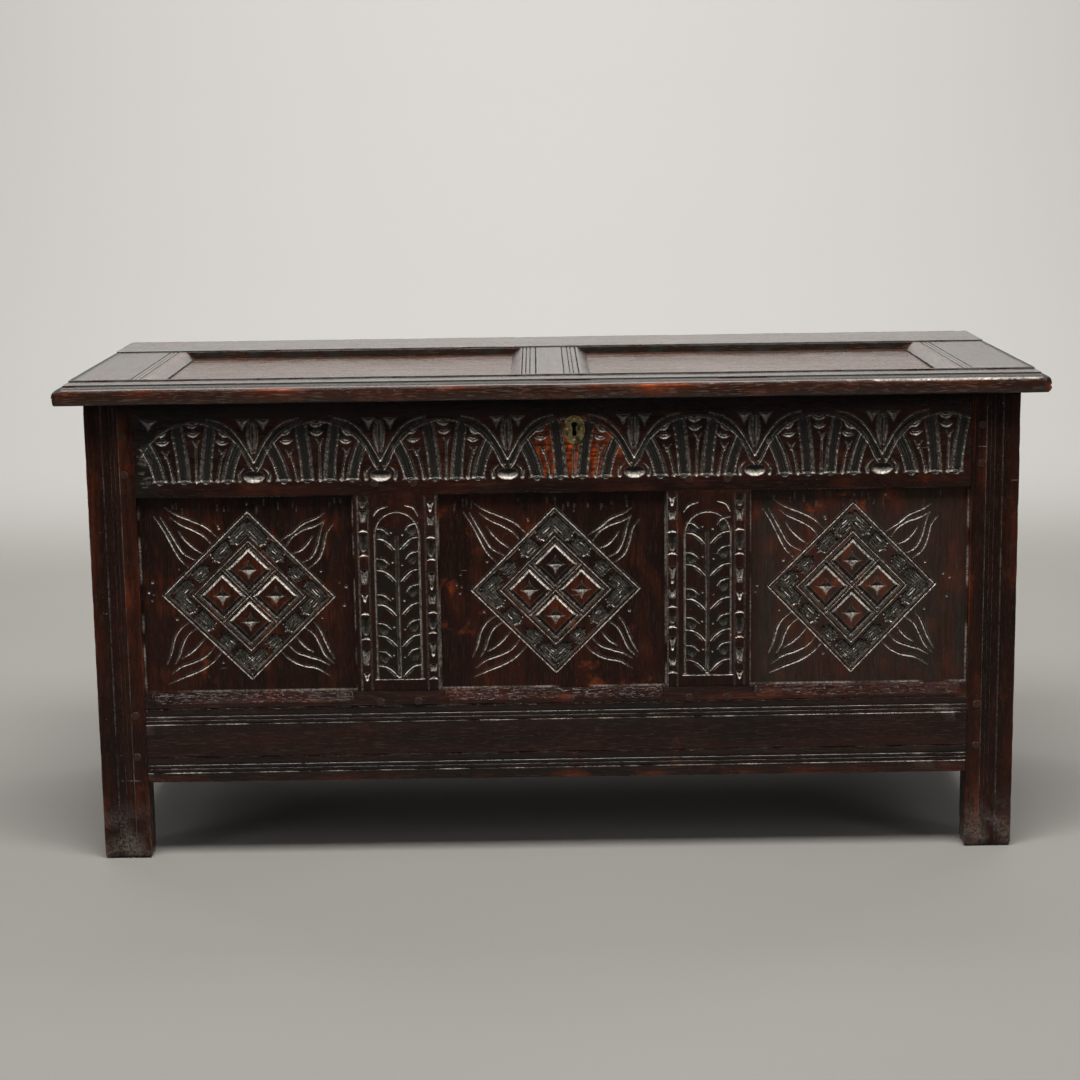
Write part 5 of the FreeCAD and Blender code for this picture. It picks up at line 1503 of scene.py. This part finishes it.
def lid_shape(points):
    """Gives the lid's ends their round moulding, and rounds its two front corners."""
    reach = LID_HALF - np.abs(points[:, 0])
    ceiling = np.interp(reach, *np.transpose(END_ROUND))
    floor = np.interp(reach, *np.transpose(END_FOOT[::-1]))
    points[:, 2] = np.clip(points[:, 2], floor, ceiling)
    for side, radius in CORNERS:
        from_end = LID_HALF - side * points[:, 0]
        from_front = points[:, 1] - LID_FRONT
        inside = (from_end < radius) & (from_front < radius)
        dx, dy = radius - from_end, radius - from_front
        away = np.maximum(np.hypot(dx, dy), 1e-6)
        pull = np.where(inside & (away > radius), radius / away, 1.0)
        points[:, 0] = np.where(inside, side * (LID_HALF - radius + dx * pull), points[:, 0])
        points[:, 1] = np.where(inside, LID_FRONT + radius - dy * pull, points[:, 1])
    return points


def lid_wear(points):
    """The lid's front edge is rubbed to orange along the top of its round, and at its right end."""
    x, y, z = points.T
    edge = np.exp(-(((z - 603.4) / 1.7) ** 2)) * (y < -259)
    spots = sum(share * np.exp(-(((x - at) / reach) ** 2)) for at, reach, share in LID_RUBS)
    face = 0.07 * (y < -262) * patchy(x, z * 5, 95, 60.0, 0.0)
    corner = 0.4 * (x > 606) * unit(1 - np.abs(z - 593) / 8) * (y < -240)
    return np.maximum(np.maximum(edge * spots, face), corner)


def lid_shading(points):
    """Painted shade, black, in the quirks of the lid's edge and over the hollow of its nosing, and a painted
    highlight along the right of its front arris, with a row of small chips to the left of that."""
    x, y, z = points.T
    reach = LID_HALF - np.abs(x)
    across = y - LID_FRONT
    quirk = ((reach > 5.6) & (reach < 13.2) & (z > 604)) | ((np.abs(across - 20.0) < 0.3) & (z > 607))
    hollow = (across < 19.7) & (z > 604.5)
    arris = np.exp(-(((z - 604.9) / 1.1) ** 2)) * (across < 3) * (np.abs(x) < 600)
    line = arris * (x > 392) * (x < 598) * patchy(x, 0 * x, 101, 50.0, 0.75, 0.5)
    chips = arris * (x > 272) * (x < 392) * patchy(x, 0 * x, 102, 9.0, -0.5)
    # painted highlight along the arris; painted shade in the quirks and over the nosing
    return np.where(arris > 0.3, line + chips, -np.maximum(DEEP_DIRT_AND_SHADE * quirk, 0.6 * hollow))


def lid_rail(name, section, seed, material, rub=None):
    """A rail of the lid from end to end, with points where the round of the lid's ends needs them."""
    places = [reach for reach, _ in END_ROUND[1:] + END_FOOT[:-1]] + [12.5, 14.0]
    stations = [side * (LID_HALF - place) for side in (-1, 1) for place in places]
    planed(name, "x", section, (-LID_HALF, LID_HALF), "lid", material, seed, wave=0.5, stations=stations,
           shape=lid_shape, ends=(0.1, 0.1), cell=8.0, rub=rub, shading_and_dust=lid_shading)


def steps_at(joint, steps):
    return [(joint + across, LID_TOP - drop, 0.0, -shadow_and_dirt) for across, drop, shadow_and_dirt in steps]


def lid_rails(material):
    front = [(LID_FRONT + across, height, 0.0) for across, height in NOSING]
    front += [(FRONT_JOINT, BODY_TOP, 0.6), *steps_at(FRONT_JOINT, FRONT_STEPS),
              (LID_FRONT + 20.8, LID_TOP - 1.6, 0.0)]
    lid_rail("lid_front_rail_moulded", front, 71, material, lid_wear)
    # the back rail's wall over the panel, its last corner, is painted black as shade
    back = [(LID_BACK, BODY_TOP, 1.2), (LID_BACK, LID_TOP, 2.0, -1.0), *steps_at(BACK_JOINT, BACK_STEPS),
            (BACK_JOINT, LAND_TOP, 0.0, -1.0), (BACK_JOINT, BODY_TOP, 0.6)]
    lid_rail("lid_back_rail_planed", back, 72, material)


def upright_shape(points):
    """The stiles and the muntin have shrunk a little below the back rail."""
    share = unit((points[:, 1] - FRONT_JOINT) / (BACK_JOINT - FRONT_JOINT))
    points[:, 2] -= 1.2 * share * (points[:, 2] > LID_FLOOR)
    return points


def bevel_foot(edge, way):
    """Corners at the foot of an upright's bevel, where it drops to the land beside a panel; the foot is
    painted black as shade. way points inwards."""
    return [(edge + way * 0.8, LAND_TOP + 1.6, 0.0), (edge, LAND_TOP + 1.0, 0.0, -DEEP_DIRT_AND_SHADE),
            (edge, LAND_TOP - 1.5, 0.0, -DEEP_DIRT_AND_SHADE), (edge, BODY_TOP, 0.6)]


def lid_upright(name, section, seed, material, shading_and_dust=None):
    planed(name, "y", section, (FRONT_JOINT, BACK_JOINT), "lid", material, seed, wave=0.3, ends=(1.1, 1.1),
           cell=10.0, shape=upright_shape, edge_wear=0.12, shading_and_dust=shading_and_dust)


def lid_uprights(material):
    for side, word in SIDES:
        def put(across, depth, side=side):
            return (side * across, LID_TOP - depth)

        section = [(side * (LID_HALF - across), height, 0.0) for across, height in END_FOOT + END_ROUND]
        section.append((side * (LID_HALF - 12.8), LID_TOP, 0.0))
        # the reeds' quirks are painted black as shade
        section += reeds(LID_STILE_REEDS, -1, put, (NARROW_REED, NARROW_REED), UPRIGHT_REED_DEPTH,
                         -DEEP_DIRT_AND_SHADE)[:-2]
        inner = LID_STILE_REEDS - QUIRK - 2 * NARROW_REED
        # the step beyond the reeds is painted black as shade
        section += [(*put(inner - 1.8, UPRIGHT_REED_DEPTH), 0.0, -DEEP_DIRT_AND_SHADE),
                    (*put(inner - 2.1, 0.2), 0.0, -DEEP_DIRT_AND_SHADE), (*put(inner - 2.6, 0.0), 0.0),
                    (side * (STILE_JOINT + 13.0), LID_TOP, 0.7), *bevel_foot(side * STILE_JOINT, side)]
        lid_upright(f"lid_{word}_stile_reeded", section, 75 + side, material, lid_shading)
    left, right = MUNTIN_EDGES

    def put_top(across, depth):
        return (across, LID_TOP - depth)

    section = [*bevel_foot(left, 1)[::-1], (left + 12.5, LID_TOP, 0.6)]
    for start, widths in ((left + 14.0, (NARROW_REED, NARROW_REED, 7.5)), (right - 35.0, (7.5, 4.5, 6.5))):
        # the muntin's reeds are painted black in their quirks as shade
        section += reeds(start, 1, put_top, widths, UPRIGHT_REED_DEPTH, -DEEP_DIRT_AND_SHADE)
    section += [(right - 12.5, LID_TOP, 0.6), *bevel_foot(right, -1)]
    lid_upright("lid_muntin_reeded", section, 78, material)


def lid_panels(material):
    front, back = FRONT_JOINT - TONGUE, BACK_JOINT + TONGUE
    section = [(front, LID_GROOVE_FLOOR, 0.6), (front, LID_FLOOR, 0.6), (back, LID_FLOOR, 0.6),
               (back, LID_GROOVE_FLOOR, 0.6), (BACK_JOINT - TONGUE, LID_GROOVE_FLOOR, 0.0),
               (BACK_JOINT - TONGUE, LID_PANEL_LOW, 1.2), (FRONT_JOINT + TONGUE, LID_PANEL_LOW, 1.2),
               (FRONT_JOINT + TONGUE, LID_GROOVE_FLOOR, 0.0)]
    outer = STILE_JOINT + TONGUE
    left, right = MUNTIN_EDGES
    for name, reach, seed in (("lid_left_panel_planed", (-outer, left + TONGUE), 102),
                              ("lid_right_panel_planed", (right - TONGUE, outer), 103)):
        planed(name, "x", section, reach, "lid", material, seed, wave=0.8, cell=14.0)


def lid_pegs(material):
    """Riven pegs through the lid's tenons, cut off flush with the rails' tops."""
    dice = np.random.default_rng(83)
    count = LID_PEG_SIDES
    points, faces = [], []
    for x in LID_PEGS:
        for y, top in ((FRONT_JOINT - LID_PEG_INSET, LID_TOP - 1.8),
                       (BACK_JOINT + LID_PEG_INSET, LID_TOP - 0.2)):
            turn = dice.uniform(0, math.tau) + np.arange(count) * math.tau / count
            radius = LID_PEG_RADIUS - 0.25 * (np.arange(count) % 2) - dice.uniform(0.0, 0.15, count)
            loops = ((1.0, BODY_TOP + 0.1), (1.0, top - 0.6), (0.93, top - 0.2), (0.5, top))
            starts = [len(points) + count * k for k in range(len(loops))]
            for share, height in loops:
                points += zip(x + radius * share * np.cos(turn), y + radius * share * np.sin(turn),
                              [height] * count)
            for first, second in zip(starts[:-1], starts[1:]):
                faces += between_loops(first, second, count)
            faces += [list(range(start, start + count)) for start in (starts[0], starts[-1])]
    make_object("lid_pegs_riven", points, faces, "lid", material)


# ---- Carried-over CAD nodes ----


def soften(node, width, material, angle=30.0):
    """Eases a CAD node's edges and gives it its material."""
    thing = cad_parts[node]
    weld = thing.modifiers.new("weld", "WELD")
    weld.merge_threshold = 0.00001
    bevel = thing.modifiers.new("bevel", "BEVEL")
    bevel.width = width * MM
    bevel.segments = 2
    bevel.limit_method = "ANGLE"
    bevel.angle_limit = math.radians(angle)
    bevel.harden_normals = False
    thing.data.materials.clear()
    thing.data.materials.append(material)


def make_materials():
    return {
        "rail": oak("carved_oak_rail", "x", 1, red=0.40, worn=0.15),
        "panel": oak("carved_oak_panel", "z", 2, red=0.50, worn=0.34),
        # a lighter, greyer copy of the panel oak for the right panel: hazier wax, and a painted sheen of the
        # brighter light on that side
        "haze_and_sheen_panel": oak("carved_oak_haze_and_sheen", "z", 10, red=0.60, worn=0.5, dark=(0.0135, 0.0098, 0.0076),
                          rough=(0.22, 0.42)),
        "muntin": oak("carved_oak_muntin", "z", 3, red=0.35, worn=0.1),
        "stile": oak("frame_oak_upright", "z", 4, red=0.45, worn=0.12),
        "moulding": oak("frame_oak_rail", "x", 5, red=0.40, worn=0.12, rough=(0.16, 0.34), gloss=0.26,
                        hairy=0.10),
        "side_rail": oak("frame_oak_side", "y", 6, red=0.6, worn=0.3),
        "side_panel": oak("frame_oak_panel", "z", 7, red=0.8, worn=0.4),
        "lid_long": oak("lid_oak_long", "x", 8, red=0.5, worn=0.15, dark=(0.010, 0.0050, 0.0030),
                        rough=(0.10, 0.32), gloss=0.40, grainy=0.25, scuffed=0.9, hairy=0.30),
        "lid_panel": oak("lid_oak_panel", "x", 11, red=0.5, worn=0.15, dark=(0.026, 0.0115, 0.0060),
                         rough=(0.12, 0.36), gloss=0.22, grainy=0.30, scuffed=0.9, hairy=0.30),
        "lid_cross": oak("lid_oak_cross", "y", 9, red=0.4, worn=0.05, dark=(0.010, 0.0050, 0.0030),
                         rough=(0.15, 0.28), gloss=0.40, grainy=0.12),
        "peg": peg_oak("oak_peg"),
        "board": bare_oak("board_oak", "y", 12),
        "iron": iron("wrought_iron", 3),
        "brass": brass("old_brass", (0.31, 0.235, 0.10), (0.045, 0.037, 0.021)),
        # brass for the pin heads: rubbed bright, and lighter still as a painted glint
        "pin": brass("rubbed_brass_painted_glint", (0.62, 0.55, 0.40), (0.36, 0.29, 0.16)),
    }


# ---- Stage ----


def stage_material():
    m = Material("stage_paper")
    back = m.parts(m.place())["Y"]
    floor = m.mix(m.ramp(m.noise(m.place(), 0.9, 2.0), 0.3, 0.7), (0.103, 0.099, 0.092),
                  (0.110, 0.106, 0.099))
    m.set(Base_Color=m.mix(m.ramp(back, 1.5, 2.8), floor, (0.175, 0.173, 0.169)), Roughness=0.85)
    return m.data


def make_stage():
    """A pale floor that curves up into the backdrop."""
    half, bend, radius, steps = 7.0, 2.4, 1.6, 12
    profile = [(-half, 0.0), (bend, 0.0)]
    for step in range(1, steps + 1):
        angle = math.pi / 2 * step / steps
        profile.append((bend + radius * math.sin(angle), radius - radius * math.cos(angle)))
    profile.append((bend + radius, 3.0))
    points = [(x, y, z) for y, z in profile for x in (-half, half)]
    faces = [[2 * k, 2 * k + 1, 2 * k + 3, 2 * k + 2] for k in range(len(profile) - 1)]
    mesh = bpy.data.meshes.new("backdrop")
    mesh.from_pydata(points, [], faces)
    mesh.shade_smooth()
    mesh.materials.append(stage_material())
    sheet = bpy.data.objects.new("backdrop", mesh)
    bpy.context.collection.objects.link(sheet)


def area_light(name, place, target, size, power):
    data = bpy.data.lights.new(name, "AREA")
    data.shape = "RECTANGLE"
    data.size, data.size_y = size
    data.energy = power
    data.color = (1.0, 0.98, 0.95)
    light = bpy.data.objects.new(name, data)
    light.visible_camera = False
    bpy.context.collection.objects.link(light)
    start, end = np.array(place), np.array(target)
    back = (start - end) / np.linalg.norm(start - end)
    side = np.cross((0, 0, 1), back)
    side = side / np.linalg.norm(side)
    up = np.cross(back, side)
    turn = Matrix([[side[k], up[k], back[k]] for k in range(3)]).to_4x4()
    light.matrix_world = Matrix.Translation(place) @ turn


def make_lights():
    """One overhead softbox does most of the work; the others lift the sides, the back and the backdrop."""
    area_light("overhead", (0.0, -1.15, 3.0), (0, 0, 0.3), (2.4, 1.1), 285)
    area_light("overhead_back", (0.0, 1.2, 2.6), (0, 0, 0.6), (2.8, 0.8), 45)
    area_light("sheen", (0.0, 3.2, 1.65), (0, 0, 0.6), (3.6, 0.7), 7)
    for side, name in SIDES:
        area_light(name + "_front", (side * 2.9, -2.3, 1.7), (0, 0, 0.4), (0.8, 1.8), 32)
        area_light(name + "_back", (side * 2.7, 2.3, 1.9), (0, 0, 0.4), (0.8, 1.6), 22)
    area_light("backdrop_light", (0.0, 1.9, 3.0), (0, 4.0, 1.3), (5.0, 0.8), 330)
    world = bpy.data.worlds.new("room")
    bpy.context.scene.world = world
    world.use_nodes = True
    background = world.node_tree.nodes["Background"]
    background.inputs["Color"].default_value = (0.95, 0.97, 1.0, 1.0)
    background.inputs["Strength"].default_value = 0.07
    bpy.context.scene.view_settings.view_transform = "Standard"


# ---- Build ----

REPLACED = {
    "front_top_rail_carved": ("front_top_rail", "carved_oak"),
    "front_left_panel_carved": ("front_left_panel", "carved_oak"),
    "front_middle_panel_carved": ("front_middle_panel", "carved_oak"),
    "front_right_panel_carved": ("front_right_panel", "carved_oak"),
    "front_left_muntin_carved": ("front_left_muntin", "carved_oak"),
    "front_right_muntin_carved": ("front_right_muntin", "carved_oak"),
    "escutcheon_domed": ("escutcheon", "brass"),
    "front_left_stile_reeded": ("front_left_stile", "frame_oak"),
    "front_right_stile_reeded": ("front_right_stile", "frame_oak"),
    "front_bottom_rail_moulded": ("front_bottom_rail", "frame_oak"),
    "lid_front_rail_moulded": ("lid_front_rail", "lid_oak"),
    "lid_back_rail_planed": ("lid_back_rail", "lid_oak"),
    "lid_left_stile_reeded": ("lid_left_stile", "lid_oak"),
    "lid_right_stile_reeded": ("lid_right_stile", "lid_oak"),
    "lid_muntin_reeded": ("lid_muntin", "lid_oak"),
    "lid_left_panel_planed": ("lid_left_panel", "lid_oak"),
    "lid_right_panel_planed": ("lid_right_panel", "lid_oak"),
    "lid_pegs_riven": ("lid_pegs", "lid_oak"),
}


def dress_cad_nodes(looks):
    replaced = {node for node, _ in REPLACED.values()}
    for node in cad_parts:
        if node in replaced:
            continue
        if node.startswith("floor_board"):
            soften(node, 1.2, looks["board"])
        elif node == "frame_pegs":
            soften(node, 0.8, looks["peg"], 50)
        elif node.startswith("escutcheon"):
            soften(node, 0.2, looks["pin"], 50)
        elif node.startswith(("left_hinge", "right_hinge", "lock_")) or node.endswith("nails"):
            soften(node, 0.35, looks["iron"], 40)
        elif "panel" in node:
            soften(node, 1.0, looks["side_panel"])
        elif "stile" in node or "muntin" in node:
            soften(node, 1.4, looks["stile"])
        elif node.startswith("back_"):
            soften(node, 1.4, looks["moulding"])
        else:
            soften(node, 1.4, looks["side_rail"])


def main():
    make_camera()
    make_stage()
    make_lights()
    looks = make_materials()
    top_rail(looks["rail"])
    panels(looks["panel"], looks["haze_and_sheen_panel"])
    muntins(looks["muntin"])
    for side, word in SIDES:
        front_stile(side, word, looks["stile"])
    bottom_rail(looks["moulding"])
    lid_rails(looks["lid_long"])
    lid_uprights(looks["lid_cross"])
    lid_panels(looks["lid_panel"])
    lid_pegs(looks["lid_cross"])
    escutcheon(looks["brass"])
    for piece, (node, slot) in REPLACED.items():
        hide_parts(node)
    dress_cad_nodes(looks)


main()
